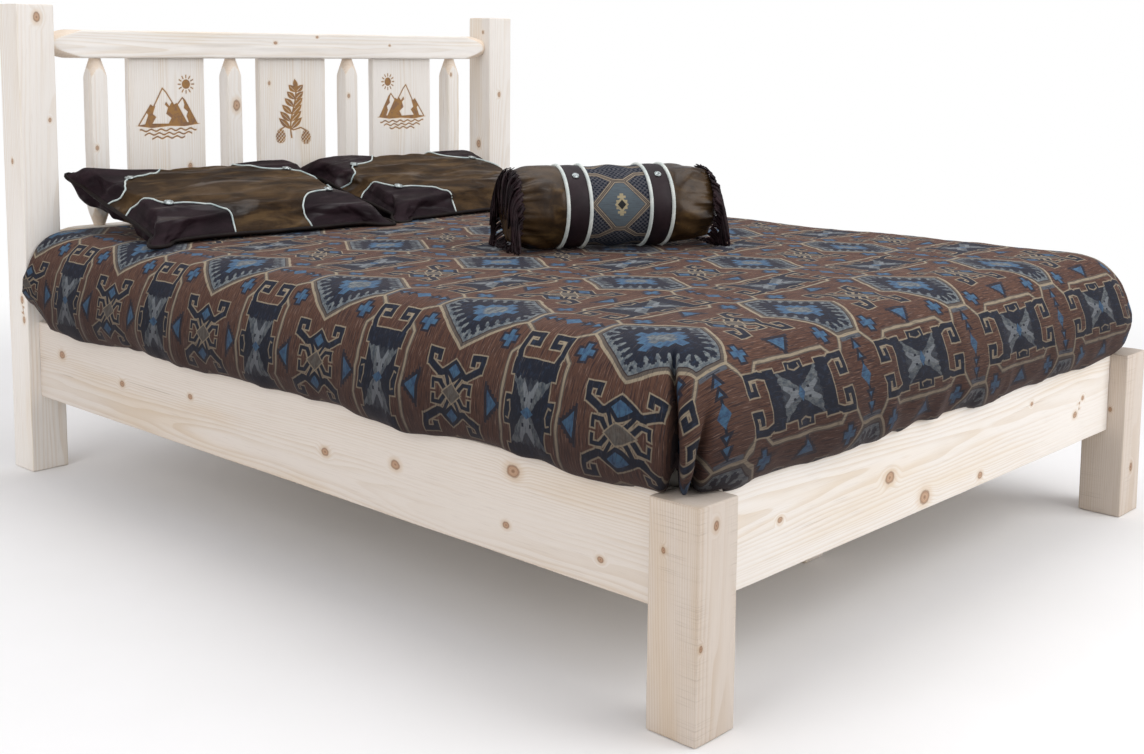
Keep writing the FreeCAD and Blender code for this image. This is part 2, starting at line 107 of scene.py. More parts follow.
class BedLeather(bpy.types.PropertyGroup):
    """Colours of the leather cushions and their trim."""

    hide: colour_choice("Hide", "Brown leather", 74, 55, 33)
    hide_dark: colour_choice("Dark hide", "Leather where it is rubbed dark", 44, 31, 19)
    patch: colour_choice("Patch", "Aubergine corner leather", 28, 18, 22)
    piping: colour_choice("Piping", "Pale blue piping", 206, 214, 210)
    silver: colour_choice("Silver", "Pressed silver buttons", 190, 196, 196)
    fringe: colour_choice("Fringe", "Cut leather strips", 27, 17, 20)
    swell_cap: length_choice("Swell cap", "How far a pillow may swell from its first shape", 0.045)
    frames: IntProperty(name="Frames", description="Steps of the swelling of a pillow", default=20)


class BedStage(bpy.types.PropertyGroup):
    """Camera and lamps."""

    eye: FloatVectorProperty(name="Eye", description="Place of the camera", subtype="TRANSLATION",
                             unit="LENGTH", default=(-2.5232, -2.4151, 1.0618))
    yaw: FloatProperty(name="Yaw", description="Turn of the view from +Y towards +X", unit="ROTATION",
                       default=math.radians(46.904))
    pitch: FloatProperty(name="Pitch", description="How far the view looks down", unit="ROTATION",
                         default=math.radians(6.788))
    roll: FloatProperty(name="Roll", description="Roll of the camera", unit="ROTATION",
                        default=math.radians(0.463))
    lens: FloatProperty(name="Lens", description="Focal length in millimetres", default=45.96)
    shift: FloatProperty(name="Shift", description="Vertical shift of the picture", default=-0.1329)
    key: FloatProperty(name="Key lamp", description="Power of the large lamp at the foot", default=104.0,
                       unit="POWER")
    fill: FloatProperty(name="Fill lamp", description="Power of the lamp at the left", default=48.0,
                        unit="POWER")
    sky: FloatProperty(name="Sky", description="Light from all round", default=0.64, min=0.0, max=1.0,
                       subtype="FACTOR")


class Strand:
    """One socket of a finish. A sum of strands adds its Math nodes to the finish."""

    def __init__(self, finish, socket):
        self.finish = finish
        self.socket = socket

    def also(self, name):
        """Another output of the same node."""
        return Strand(self.finish, self.socket.node.outputs[name])

    def sum(self, operation, *terms):
        """A Math node of this strand and others."""
        return self.finish.sum(operation, *terms)

    def __add__(self, other):
        return self.sum("ADD", self, other)

    __radd__ = __add__

    def __sub__(self, other):
        return self.sum("SUBTRACT", self, other)

    def __rsub__(self, other):
        return self.sum("SUBTRACT", other, self)

    def __mul__(self, other):
        return self.sum("MULTIPLY", self, other)

    __rmul__ = __mul__

    def __truediv__(self, other):
        return self.sum("DIVIDE", self, other)

    def __pow__(self, other):
        return self.sum("POWER", self, other)

    def __abs__(self):
        return self.sum("ABSOLUTE", self)

    def over(self, other):
        """The larger of the two."""
        return self.sum("MAXIMUM", self, other)

    def under(self, other):
        """The smaller of the two."""
        return self.sum("MINIMUM", self, other)

    def part(self):
        """What is left past the last whole number."""
        return self.sum("FRACT", self)

    def rise(self, low, high):
        """0 below low and 1 above high, eased between."""
        return self.finish.node("ShaderNodeMapRange", {"interpolation_type": "SMOOTHSTEP"},
                                {"Value": self, "From Min": low, "From Max": high})

    def fall(self, low, high):
        """1 below low and 0 above high, eased between."""
        return 1 - self.rise(low, high)


class Finish:
    """A material, or the light of the sky, made from nodes."""

    def __init__(self, name, family="materials"):
        self.block = getattr(bpy.data, family).new(name)
        self.block.use_nodes = True
        self.tree = self.block.node_tree
        self.tree.nodes.clear()

    def node(self, kind, settings=None, sockets=(), out=0):
        """Adds a node: its settings first, then a value or a strand for each socket."""
        made = self.tree.nodes.new(kind)
        for name, value in (settings or {}).items():
            setattr(made, name, value)
        pairs = sockets.items() if isinstance(sockets, dict) else enumerate(sockets)
        for name, value in pairs:
            if isinstance(value, Strand):
                self.tree.links.new(value.socket, made.inputs[name])
            else:
                made.inputs[name].default_value = value
        return Strand(self, made.outputs[out]) if len(made.outputs) else made

    def sum(self, operation, *terms, clamp=False):
        """A Math node."""
        return self.node("ShaderNodeMath", {"operation": operation, "use_clamp": clamp}, terms)

    def read(self, name, out="Fac"):
        """One of the mesh's own fields."""
        return self.node("ShaderNodeAttribute", {"attribute_name": name}, out=out)

    def place(self):
        """Place in the piece's own frame."""
        return self.node("ShaderNodeTexCoord", out="Object")

    def parts(self, vector):
        """The three parts of a vector."""
        x = self.node("ShaderNodeSeparateXYZ", None, [vector])
        return x, x.also("Y"), x.also("Z")

    def joined(self, x, y, z):
        """A vector from three parts."""
        return self.node("ShaderNodeCombineXYZ", None, [x, y, z])

    def noise(self, x, y, z, detail=2.0, roughness=0.5, distortion=0.0):
        """Clouds over the three parts of a place; the larger a part, the finer the clouds along it."""
        return self.node("ShaderNodeTexNoise", None,
                         {"Vector": self.joined(x, y, z), "Scale": 1.0, "Detail": detail,
                          "Roughness": roughness, "Distortion": distortion})

    def noise_over(self, x, y, z):
        """The noise over one place, as a function of how fine it is along each part."""
        def noise(fine_x, fine_y, fine_z, *character):
            return self.noise(x * fine_x, y * fine_y, z * fine_z, *character)

        return noise

    def mix(self, share, first, second, blend="MIX"):
        """The second colour over the first by a share."""
        return self.node("ShaderNodeMix", {"data_type": "RGBA", "blend_type": blend},
                         {0: share, 6: first, 7: second}, out=2)

    def bump(self, height, distance, strength=1.0):
        """The direction of a surface with fine relief on it."""
        return self.node("ShaderNodeBump", None, {"Strength": strength, "Distance": distance,
                                                  "Height": height})

    def close(self, **sockets):
        """The shader and the output. Socket names are written with low lines for spaces."""
        named = {name.replace("_", " "): value for name, value in sockets.items()}
        shader = self.node("ShaderNodeBsdfPrincipled", None, named)
        self.node("ShaderNodeOutputMaterial", None, {"Surface": shader})
        return self.block


# Shapes as whole arrays
def grid_faces(numbers, wrap=False):
    """Squares between neighbouring numbers of a grid. With wrap, the last column joins the first."""
    if wrap:
        numbers = np.concatenate([numbers, numbers[:, :1]], axis=1)
    corners = [numbers[:-1, :-1], numbers[:-1, 1:], numbers[1:, 1:], numbers[1:, :-1]]
    return np.stack(corners, -1).reshape(-1, 4)


def turned_outward(points, faces):
    """The faces, turned over if the volume that they close, summed from the origin, is negative."""
    volume = 0.0
    for group in faces:
        a, b, c = points[group[:, 0]], points[group[:, 1]], points[group[:, 2]]
        volume += (a * np.cross(b, c)).sum()
        if group.shape[1] == 4:
            volume += (a * np.cross(c, points[group[:, 3]])).sum()
    return [group[:, ::-1] for group in faces] if volume < 0 else faces


def capped(rings, start, end):
    """A closed skin over rings of points, each end drawn together in one point."""
    count, sides = rings.shape[0] * rings.shape[1], rings.shape[1]
    numbers = np.arange(count).reshape(-1, sides)
    after = np.roll(numbers, -1, axis=1)
    points = np.concatenate([rings.reshape(-1, 3), [start, end]])
    faces = [grid_faces(numbers, wrap=True),
             np.stack([after[0], numbers[0], np.full(sides, count)], 1),
             np.stack([numbers[-1], after[-1], np.full(sides, count + 1)], 1)]
    return points, turned_outward(points - points.mean(0), faces)


def round_turn(count):
    """Angles of so many places round a circle."""
    return np.linspace(0, 2 * math.pi, count, endpoint=False)


def unit(vectors):
    """The same directions, each with a length of 1."""
    return vectors / np.maximum(np.linalg.norm(vectors, axis=-1, keepdims=True), 1e-12)


def walked(path):
    """How far along a path each of its points lies."""
    return np.concatenate([[0], np.cumsum(np.linalg.norm(np.diff(path, axis=0), axis=1))])


def merged(points, faces, step=1e-6):
    """Points nearer than a step become one, and squares that shrink to nothing are left out."""
    keys = np.round(points / step).astype(np.int64)
    _, first, numbers = np.unique(keys, axis=0, return_index=True, return_inverse=True)
    numbers = numbers.reshape(-1)
    kept = []
    for group in faces:
        group = numbers[group]
        whole = np.ones(len(group), bool)
        for a in range(group.shape[1]):
            for b in range(a):
                whole &= group[:, a] != group[:, b]
        kept.append(group[whole])
        if group.shape[1] == 4:
            for near, far in ((0, 1), (1, 2), (2, 3), (3, 0)):
                flat = group[group[:, near] == group[:, far]]
                kept.append(np.delete(flat, far, axis=1))
    return first, [group for group in kept if len(group)]


def linked(name, data):
    """An object of the scene that carries the data."""
    made = bpy.data.objects.new(name, data)
    bpy.context.scene.collection.objects.link(made)
    return made


def mesh_piece(name, points, faces, fields, finish, body, stands_for=(), slot=None):
    """A piece from arrays: its mesh, its fields of one number or vector a point, and its ride."""
    mesh = bpy.data.meshes.new(name)
    corners = np.concatenate([group.reshape(-1) for group in faces]).astype(np.int32)
    counts = np.concatenate([np.full(len(group), group.shape[1]) for group in faces]).astype(np.int32)
    starts = np.concatenate([[0], np.cumsum(counts)[:-1]]).astype(np.int32)
    mesh.vertices.add(len(points))
    mesh.vertices.foreach_set("co", np.asarray(points, np.float32).ravel())
    mesh.loops.add(len(corners))
    mesh.loops.foreach_set("vertex_index", corners)
    mesh.polygons.add(len(counts))
    mesh.polygons.foreach_set("loop_start", starts)
    mesh.polygons.foreach_set("use_smooth", np.ones(len(counts), bool))
    mesh.update(calc_edges=True)
    for field, values in fields.items():
        values = np.asarray(values, np.float32)
        if values.ndim == 0:
            values = np.full(len(points), values, np.float32)
        kind, slot_name = ("FLOAT", "value") if values.ndim == 1 else ("FLOAT_VECTOR", "vector")
        mesh.attributes.new(field, kind, "POINT").data.foreach_set(slot_name, values.ravel())
    mesh.validate()
    mesh.materials.append(finish)
    piece = linked(name, mesh)
    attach(piece, body)
    if stands_for:
        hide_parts(*stands_for)
    return piece


def drift(u, v, seed):
    """Smooth random heights from -1 to 1.

    A square table of random numbers is read at whole u and v and eased between, and repeats.
    """
    size = 128
    table = np.random.default_rng(seed).uniform(-1, 1, (size, size))
    iu, iv = np.floor(u).astype(int), np.floor(v).astype(int)
    fu, fv = u - iu, v - iv
    fu, fv = fu * fu * (3 - 2 * fu), fv * fv * (3 - 2 * fv)
    iu, iv, ju, jv = iu % size, iv % size, (iu + 1) % size, (iv + 1) % size
    return ((table[iu, iv] * (1 - fu) + table[ju, iv] * fu) * (1 - fv)
            + (table[iu, jv] * (1 - fu) + table[ju, jv] * fu) * fv)


def eased(value, low, high):
    """0 below low and 1 above high, with a smooth S between."""
    share = np.clip((value - low) / (high - low), 0, 1)
    return share * share * (3 - 2 * share)


def stops(low, high, pitch, radius, fine=()):
    """Places along a board: close together at its rounded edges and in the fine spans, else a pitch apart."""
    edge = radius * np.array([0, 0.15, 0.45, 0.85, 1.35])
    inner = np.linspace(low + edge[-1], high - edge[-1], max(2, int((high - low) / pitch) + 1))
    for start, end, step in fine:
        inner = inner[(inner < start) | (inner > end)]
        inner = np.concatenate([inner, np.arange(start, end, step)])
    return np.unique(np.concatenate([low + edge[:-1], inner, high - edge[:-1]]))


def box_grid(places):
    """The six faces of a box as one closed grid, from its places along X, Y and Z."""
    points, faces, base = [], [], 0
    for axis in range(3):
        u, v = (axis + 1) % 3, (axis + 2) % 3
        grid_u, grid_v = np.meshgrid(places[u], places[v], indexing="ij")
        for side in (0, -1):
            face = np.empty(grid_u.shape + (3,))
            face[..., axis] = places[axis][side]
            face[..., u], face[..., v] = grid_u, grid_v
            squares = grid_faces(base + np.arange(grid_u.size).reshape(grid_u.shape))
            faces.append(squares if side == 0 else squares[:, ::-1])
            points.append(face.reshape(-1, 3))
            base += grid_u.size
    points = np.concatenate(points)
    first, faces = merged(points, faces)
    return points[first], faces


def timber_fields(points, axis, heart, knots, seed):
    """What the pine finish reads.

    grain is the place along the tree and the two distances from its heart. knot is the way from the
    nearest knot in that knot's radii, along and across the grain; its third number is the length of
    that way less a margin, and keeps false knots out where the nearest knot changes. A knot is given
    by its middle, the axis that it runs along, its radius and how far it reaches either way.
    """
    one, two = (axis + 1) % 3, (axis + 2) % 3
    off_heart = points[:, one] - heart[0], points[:, two] - heart[1]
    no_knot, farthest, margin = 60.0, 40, 1.7
    grain = np.stack([points[:, axis] + 3.7 * seed, *off_heart], 1)
    knot = np.full((len(points), 3), 9.0)
    nearest = np.full(len(points), no_knot)
    for x, y, z, through, radius, reach in knots:
        offset = points - np.array([x, y, z])
        side = 3 - axis - through
        way = np.stack([0.74 * offset[:, axis], offset[:, side]], 1) / radius
        beyond = np.clip(np.abs(offset[:, through]) - reach, 0, None) / radius
        far = np.linalg.norm(way, axis=1) + beyond
        closer = far < nearest
        nearest = np.where(closer, far, nearest)
        knot[closer, :2] = np.clip(way[closer], -farthest, farthest)
    knot[:, 2] = np.minimum(nearest, farthest) - margin
    return {"grain": grain, "knot": knot}


def board(name, node, low, high, axis, heart, knots, seed, pitch=0.012, sawn=0.0, fine=((), (), ()),
          carve=None, finish="washed_pine", slot="whitewashed_pine"):
    """A sawn board: a closed box grid whose every edge is rolled round by a ball of the edge's radius.

    The radius grows and shrinks along the board, and the faces wander by the unevenness.
    """
    timber = bpy.context.scene.bed_timber
    radius = min(timber.arris, 0.24 * (high - low).min())
    points, faces = box_grid([stops(low[k], high[k], pitch, radius, fine[k]) for k in range(3)])
    middle, half = (low + high) / 2, (high - low) / 2
    local = points - middle
    across = local[:, (axis + 1) % 3] + 1.7 * local[:, (axis + 2) % 3]
    rolled = radius * (0.78 + 0.22 * drift(points[:, axis] * 16, across * 30, seed))
    inner = np.clip(local, rolled[:, None] - half, half - rolled[:, None])
    wander = timber.unevenness * (drift(points[:, axis] * 5, across * 21, seed + 1) - 0.6)
    shaped = middle + inner + unit(local - inner) * (rolled + wander)[:, None]
    fields = timber_fields(shaped, axis, heart, knots, seed)
    near = np.sort(half - np.abs(local), axis=1)[:, 1]
    fields.update(arris=np.exp(-(near / (1.2 * radius)) ** 2), cut=0.0, sawn=sawn)
    if carve is not None:
        shaped, fields["burn"] = carve(shaped)
    return mesh_piece(name, shaped, faces, fields, bpy.data.materials[finish], "frame", (node,), slot)


def tenoned(name, node, axis, start, end, taper, tenon, heart, knots, seed, pitch=0.012):
    """Square stock whose ends are cut by a cone down to a round tenon.

    At each place along the piece the section is the nearer to the axis of a rounded rectangle and
    a circle, with a soft join; the circle grows from the tenon to the stock's corner over the taper.
    The heart of the tree is given from the piece's own axis.
    """
    timber = bpy.context.scene.bed_timber
    in_mortise, beyond_taper, soft = 0.012, 0.012, 0.0016
    one, two = (axis + 1) % 3, (axis + 2) % 3
    low, high = node_box(node)
    middle = ((low + high) / 2)[[one, two]]
    half = ((high - low) / 2)[[one, two]]
    length = end - start
    inside = np.concatenate([np.linspace(-in_mortise, 0, 5)[:-1],
                             np.linspace(0, taper, int(taper / 0.0022)), [taper + 0.004]])
    body = np.linspace(taper + beyond_taper, length - taper - beyond_taper, int((length - 2 * taper) / pitch))
    along = np.concatenate([inside, body, length - inside[::-1]])
    turn = round_turn(120)
    corner = math.hypot(*half)
    square = np.maximum(np.abs(np.cos(turn)) / half[0], np.abs(np.sin(turn)) / half[1])
    w, angle = np.meshgrid(along, turn, indexing="ij")
    radius = timber.arris * (0.9 + 0.35 * drift(w * 18, angle, seed))[..., None]
    flat = np.stack([np.cos(angle), np.sin(angle)], -1) / square[None, :, None]
    inner = np.clip(flat, -half + radius, half - radius)
    wander = timber.unevenness * (drift(w * 6, 3 * angle, seed + 1) - 0.5)
    flat = inner + unit(flat - inner) * (radius + wander[..., None])
    stock = np.linalg.norm(flat, axis=-1)
    depth = np.minimum(w, length - w)
    cone = np.where(depth < 0, tenon, tenon + (corner - tenon) * np.clip(depth / taper, 0, 1.3))
    cone = cone + 0.0004 * np.sin(w * 900) * (depth < taper)
    blend = np.clip(0.5 + 0.5 * (cone - stock) / soft, 0, 1)
    reach = cone * (1 - blend) + stock * blend - soft * blend * (1 - blend)
    reach = np.minimum(reach, stock)
    rings = np.empty(w.shape + (3,))
    rings[..., axis] = start + w
    rings[..., [one, two]] = middle + flat / stock[..., None] * reach[..., None]
    points, faces = capped(rings, rings[0].mean(0), rings[-1].mean(0))
    fields = timber_fields(points, axis, middle + heart, knots, seed)
    bared = eased((stock - reach).ravel(), 0.0002, 0.0014)
    corners = np.exp(-((corner - 0.9 * timber.arris - stock) / (0.8 * timber.arris)) ** 2).ravel()
    rims = np.exp(-(((stock - cone) / 0.0012) ** 2)).ravel() * (depth.ravel() > 0)
    worn = np.clip(corners * (1 - bared) + 0.8 * rims, 0, 1)
    fields.update(cut=np.concatenate([bared, [1, 1]]), arris=np.concatenate([worn, [0, 0]]), sawn=0.0)
    return mesh_piece(name, points, faces, fields, bpy.data.materials["washed_pine"], "frame", (node,),
                      "whitewashed_pine")


# Finishes of the timber
def pine(name, axis=None, engraved=False):
    """Whitewashed pine: rings round the tree's heart, fibres, knots, saw marks and thin wash.

    With an axis, the grain runs along that axis of Object coordinates, for the plain boards.
    """
    timber = bpy.context.scene.bed_timber
    f = Finish(name)
    if axis is None:
        along, across, depth = f.parts(f.read("grain", "Vector"))
        knot_x, knot_y, knot = f.parts(f.read("knot", "Vector"))
        knot = knot.over((knot_x * knot_x + knot_y * knot_y) ** 0.5)
        swirl = knot.fall(0.4, 3.2) * 0.0065
        arris, cut, sawn = f.read("arris"), f.read("cut"), f.read("sawn")
    else:
        place = f.parts(f.place())
        along, across, depth = place[axis], place[(axis + 1) % 3] + 0.31, place[(axis + 2) % 3] + 0.11
        spots = f.joined(along * 3.1, across * 9, depth * 9)
        knot = f.node("ShaderNodeTexVoronoi", None, {"Vector": spots, "Scale": 1.0}) * 8.5
        swirl = knot.fall(0.5, 3.0) * 0.006
        arris, cut, sawn = along * 0, along * 0, along * 0 + 0.5
    noise = f.noise_over(along, across, depth)
    wander = noise(0.9, 5.5, 5.5, 3.0)
    heart = (across * across + depth * depth) ** 0.5
    rings = (heart + swirl + wander * 0.034 + along * 0.006) / timber.ring_width
    ring = (rings + f.noise(rings * 0.21, 0.0, 0.0, 1.0) * 3.0).part()
    late = ring.rise(0.30, 0.90) * ring.fall(0.93, 1.0)
    fibre = noise(16, 760, 760, 2.0, 0.6)
    streak = noise(3.0, 90, 90, 3.0, 0.6)
    broad = noise(1.3, 9, 9, 3.0, 0.6)
    tone = f.mix(late * broad.rise(0.25, 0.75) * 0.70, timber.wash, timber.late)
    tone = f.mix(broad.rise(0.50, 0.74) * 0.62, tone, timber.warm)
    tone = f.mix(streak.rise(0.56, 0.80) * 0.26, tone, timber.late)
    tone = f.mix(fibre.rise(0.52, 0.82) * 0.16, tone, timber.rim)
    uneven = knot + (noise(90, 90, 90) - 0.5) * 0.42
    tone = f.mix(uneven.fall(0.9, 2.3) * 0.55, tone, timber.halo)
    eye = f.mix((uneven * 4.2).part().rise(0.2, 0.9) * 0.5, timber.knot, timber.halo)
    tone = f.mix(uneven.fall(0.72, 1.10) * 0.80, tone, eye)
    tone = f.mix(uneven.rise(0.55, 0.86) * uneven.fall(0.92, 1.20) * 0.50, tone, timber.rim)
    tone = f.mix(uneven.fall(0.10, 0.36) * 0.6, tone, timber.rim)
    check = noise(2.2, 160, 160, 1.0)
    crack = check.rise(0.745, 0.765) * broad.rise(0.5, 0.6)
    tone = f.mix(crack * 0.55, tone, timber.rim)
    tone = f.mix(cut * (0.35 + 0.4 * streak), tone, timber.cut)
    tone = f.mix(arris * (0.10 + 0.3 * broad.rise(0.45, 0.7)), tone, timber.late)
    blade = noise(420, 7, 7)
    patch = noise(2.4, 12, 12).rise(0.42, 0.62)
    marks = blade.rise(0.50, 0.74) * patch * sawn.rise(0.80, 1.0)
    tone = f.mix(marks * 0.17, tone, timber.rim)
    # Multiply tint by the sawn share: partly the duller tone of sawn faces, and painted shade on the side
    # rails, whose share darkens them without saw marks
    tone = f.mix(sawn, tone, dye(218, 210, 203), blend="MULTIPLY")
    height = fibre * 0.35 - late * 0.30 - crack * 2.0 - marks * 1.3 + uneven.fall(0.7, 1.0) * 0.5
    rough = 0.60 + fibre * 0.16 + marks * 0.1
    if engraved:
        burn = f.read("burn") + (fibre - 0.5) * 0.0006
        scorch = burn.fall(-0.0004, 0.0005)
        char = noise(60, 60, 60, 4.0, 0.7)
        depth_tone = f.mix(char.rise(0.45, 0.62) * 0.8, timber.burn, timber.rim)
        tone = f.mix(burn.fall(0.0, 0.004) * 0.35, tone, timber.halo)
        tone = f.mix(scorch * 0.93, tone, depth_tone)
        rough = rough + scorch * 0.12
    return f.close(Base_Color=tone, Roughness=rough, Specular_IOR_Level=0.28,
                   Normal=f.bump(height, 0.0006, 0.55))


def steel(name):
    """Zinc plated steel with fine brushing and dull spots."""
    f = Finish(name)
    noise = f.noise_over(*f.parts(f.place()))
    brush = noise(120, 120, 1600)
    spots = noise(60, 60, 60, 3.0).rise(0.5, 0.75)
    tone = f.mix(spots * 0.5, dye(188, 190, 190), dye(140, 140, 138))
    tone = f.mix(brush.rise(0.4, 0.8) * 0.3, tone, dye(110, 110, 112))
    return f.close(Base_Color=tone, Metallic=1.0, Roughness=0.30 + spots * 0.2 + brush * 0.1,
                   Normal=f.bump(brush, 0.0002, 0.4))


def node_box(node):
    """The low and the high corner of a node."""
    low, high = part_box(node)
    return np.array(low), np.array(high)


class BedPiece:
    """What the operators share: they can be undone, and they fail loudly."""

    bl_options = {"REGISTER", "UNDO"}


class BED_OT_head_posts(BedPiece, bpy.types.Operator):
    """The two tall posts of the headboard"""

    bl_idname = "bed.head_posts"
    bl_label = "Head posts"

    knots = {
        "head_post_left": ((-0.838, 1.035, 0.436, 0, 0.007, 0.03), (-0.838, 1.028, 0.386, 0, 0.006, 0.03),
                           (-0.787, 1.009, 1.134, 1, 0.009, 0.03), (-0.761, 1.009, 0.882, 1, 0.004, 0.02),
                           (-0.838, 1.060, 0.780, 0, 0.005, 0.03), (-0.742, 1.050, 0.300, 0, 0.011, 0.03),
                           (-0.790, 1.105, 0.640, 1, 0.012, 0.03)),
        "head_post_right": ((0.785, 1.009, 0.920, 1, 0.006, 0.03), (0.742, 1.060, 0.760, 0, 0.009, 0.03),
                            (0.838, 1.050, 0.540, 0, 0.013, 0.03), (0.780, 1.105, 0.880, 1, 0.011, 0.03),
                            (0.742, 1.040, 1.120, 0, 0.004, 0.02)),
    }

    def execute(self, context):
        for seed, (name, knots) in enumerate(self.knots.items(), 3):
            low, high = node_box(name)
            heart = (low[0] + 0.055 + 0.010 * seed, high[1] + 0.03)
            board("post_head_" + name.rsplit("_", 1)[1], name, low, high, 2, heart, knots, seed, sawn=0.12)
        return {"FINISHED"}


class BED_OT_foot_posts(BedPiece, bpy.types.Operator):
    """The two low posts at the foot"""

    bl_idname = "bed.foot_posts"
    bl_label = "Foot posts"

    knots = {
        "foot_post_left": ((-0.795, -1.105, 0.345, 1, 0.006, 0.03), (-0.828, -1.105, 0.158, 1, 0.004, 0.02),
                           (-0.838, -1.036, 0.300, 0, 0.004, 0.02), (-0.738, -1.060, 0.120, 0, 0.012, 0.03)),
        "foot_post_right": ((0.738, -1.070, 0.250, 0, 0.004, 0.02), (0.790, -1.105, 0.110, 1, 0.007, 0.03),
                            (0.838, -1.050, 0.200, 0, 0.012, 0.03)),
    }

    def execute(self, context):
        for seed, (name, knots) in enumerate(self.knots.items(), 7):
            low, high = node_box(name)
            heart = (low[0] + 0.062, low[1] + 0.160)
            board("post_foot_" + name.rsplit("_", 1)[1], name, low, high, 2, heart, knots, seed, pitch=0.010,
                  sawn=1.0)
        return {"FINISHED"}


class BED_OT_rails(BedPiece, bpy.types.Operator):
    """The two side rails and the foot rail"""

    bl_idname = "bed.rails"
    bl_label = "Side and foot rails"

    def execute(self, context):
        reach = 0.05
        sides = {
            "left": (-1, ((0.894, 0.313, 0.009), (0.614, 0.287, 0.007), (0.327, 0.305, 0.006),
                          (-0.152, 0.276, 0.008), (-0.365, 0.293, 0.009), (-0.678, 0.345, 0.011),
                          (-0.661, 0.246, 0.006), (-0.881, 0.239, 0.005))),
            "right": (1, ((0.820, 0.262, 0.010), (0.480, 0.330, 0.006), (0.095, 0.250, 0.012),
                          (-0.270, 0.318, 0.008), (-0.560, 0.270, 0.014), (-0.905, 0.300, 0.007))),
        }
        for seed, (name, (side, spots)) in enumerate(sides.items(), 11):
            low, high = node_box("side_rail_" + name)
            outer = low[0] if side < 0 else high[0]
            knots = [(outer, y, z, 0, radius, reach) for y, z, radius in spots]
            # A sawn share of 0.74 darkens the side rails as painted shade; it stays below the share at which
            # saw marks begin
            board("rail_side_" + name, "side_rail_" + name, low, high, 1, (0.232, outer + side * 0.075),
                  knots, seed, sawn=0.74)
        low, high = node_box("foot_rail")
        low[0], high[0] = node_box("foot_post_left")[1][0], node_box("foot_post_right")[0][0]
        spots = ((-0.569, 0.292, 0.005), (-0.222, 0.290, 0.011), (-0.092, 0.225, 0.013),
                 (0.126, 0.222, 0.007), (0.561, 0.268, 0.007), (0.598, 0.300, 0.005), (0.345, 0.330, 0.004))
        knots = [(x, low[1], z, 1, radius, reach) for x, z, radius in spots]
        board("rail_foot", "foot_rail", low, high, 0, (low[1] - 0.085, 0.315), knots, 15, sawn=0.24)
        return {"FINISHED"}


class BED_OT_head_rails(BedPiece, bpy.types.Operator):
    """The two headboard rails with round tenons"""

    bl_idname = "bed.head_rails"
    bl_label = "Headboard rails"

    def execute(self, context):
        inner = node_box("head_post_left")[1][0]
        knots = {
            "head_top_rail": ((-0.070, 1.029, 1.078, 1, 0.004, 0.05), (0.075, 1.029, 1.096, 1, 0.0035, 0.05),
                              (0.345, 1.029, 1.074, 1, 0.003, 0.05), (-0.200, 1.057, 1.106, 2, 0.009, 0.05)),
            "head_lower_rail": ((-0.400, 1.029, 0.566, 1, 0.009, 0.05),
                                (0.320, 1.029, 0.575, 1, 0.007, 0.05)),
        }
        for seed, (name, spots) in enumerate(knots.items(), 21):
            tenoned("rail_" + name.replace("_rail", ""), name, 0, inner, -inner, taper=0.092, tenon=0.0255,
                    heart=(-0.070, -0.012), knots=spots, seed=seed)
        return {"FINISHED"}


class BED_OT_spindles(BedPiece, bpy.types.Operator):
    """The four square spindles with tapered ends"""

    bl_idname = "bed.spindles"
    bl_label = "Spindles"

    def execute(self, context):
        bottom = node_box("head_lower_rail")[1][2]
        top = node_box("head_top_rail")[0][2]
        for number in range(1, 5):
            low, high = node_box("spindle_%d" % number)
            x = (low[0] + high[0]) / 2
            knots = [(x - 0.012, low[1], 0.745 + 0.06 * number, 1, 0.0045, 0.02)]
            if number == 2:
                knots = [(x + 0.004, low[1], 0.905, 1, 0.011, 0.03)]
            tenoned("spindle_turned_%d" % number, "spindle_%d" % number, 2, bottom, top, taper=0.055,
                    tenon=0.014, heart=(0.03, 0.045), knots=knots, seed=30 + number, pitch=0.010)
        return {"FINISHED"}


def to_stroke(x, z, path, width):
    """Distance from the edge of a line of some width, drawn through a path; inside is negative."""
    nearest = np.full(x.shape, 9.0)
    for (x0, z0), (x1, z1) in zip(path, path[1:]):
        dx, dz = x1 - x0, z1 - z0
        share = np.clip(((x - x0) * dx + (z - z0) * dz) / max(dx * dx + dz * dz, 1e-12), 0, 1)
        nearest = np.minimum(nearest, np.hypot(x - x0 - share * dx, z - z0 - share * dz))
    return nearest - width / 2


def to_outline(x, z, corners):
    """Distance from a closed outline, negative inside it.

    A point is inside when the level line from it crosses an odd count of edges.
    """
    path = [*corners, corners[0]]
    away = to_stroke(x, z, path, 0.0)
    inside = np.zeros(x.shape, bool)
    for (x0, z0), (x1, z1) in zip(path, path[1:]):
        if z0 != z1:
            crosses = (z0 > z) != (z1 > z)
            inside ^= crosses & (x < x0 + (z - z0) * (x1 - x0) / (z1 - z0))
    return np.where(inside, -away, away)


def millimetres(*corners):
    """Corners given in millimetres."""
    return [(x / 1000, z / 1000) for x, z in corners]


# Outlines of an outer panel's drawing, from its middle
PEAKS = (millimetres((-88, -46), (-52, 6), (-44, 0), (-16, 50), (-6, 40), (18, 4), (26, 8), (58, -46)),
         millimetres((20, -4), (44, 24), (52, 16), (88, -46)))
SHORE = millimetres((-96, -48), (-60, -43), (10, -45), (70, -42), (97, -47), (50, -53), (4, -51), (-50, -55))
SNOW = millimetres((-36, 19), (-26, 6), (-20, 16), (-12, 0), (-6, 14), (4, 2), (12, 14), (-4, 44), (-16, 56))
SHADE = millimetres((-16, 50), (-6, 40), (18, 4), (26, 8), (58, -46), (0, -46), (10, -30), (-6, -18), (0, -2),
                    (-14, 10))
LEFT_SHADE = millimetres((-52, 6), (-44, 0), (-38, 4), (-46, -18), (-36, -26), (-50, -46), (-70, -46),
                         (-60, -20), (-66, -12))
LOW_SHADE = millimetres((44, 24), (52, 16), (88, -46), (64, -46), (56, -26), (60, -14), (48, -4), (50, 6))


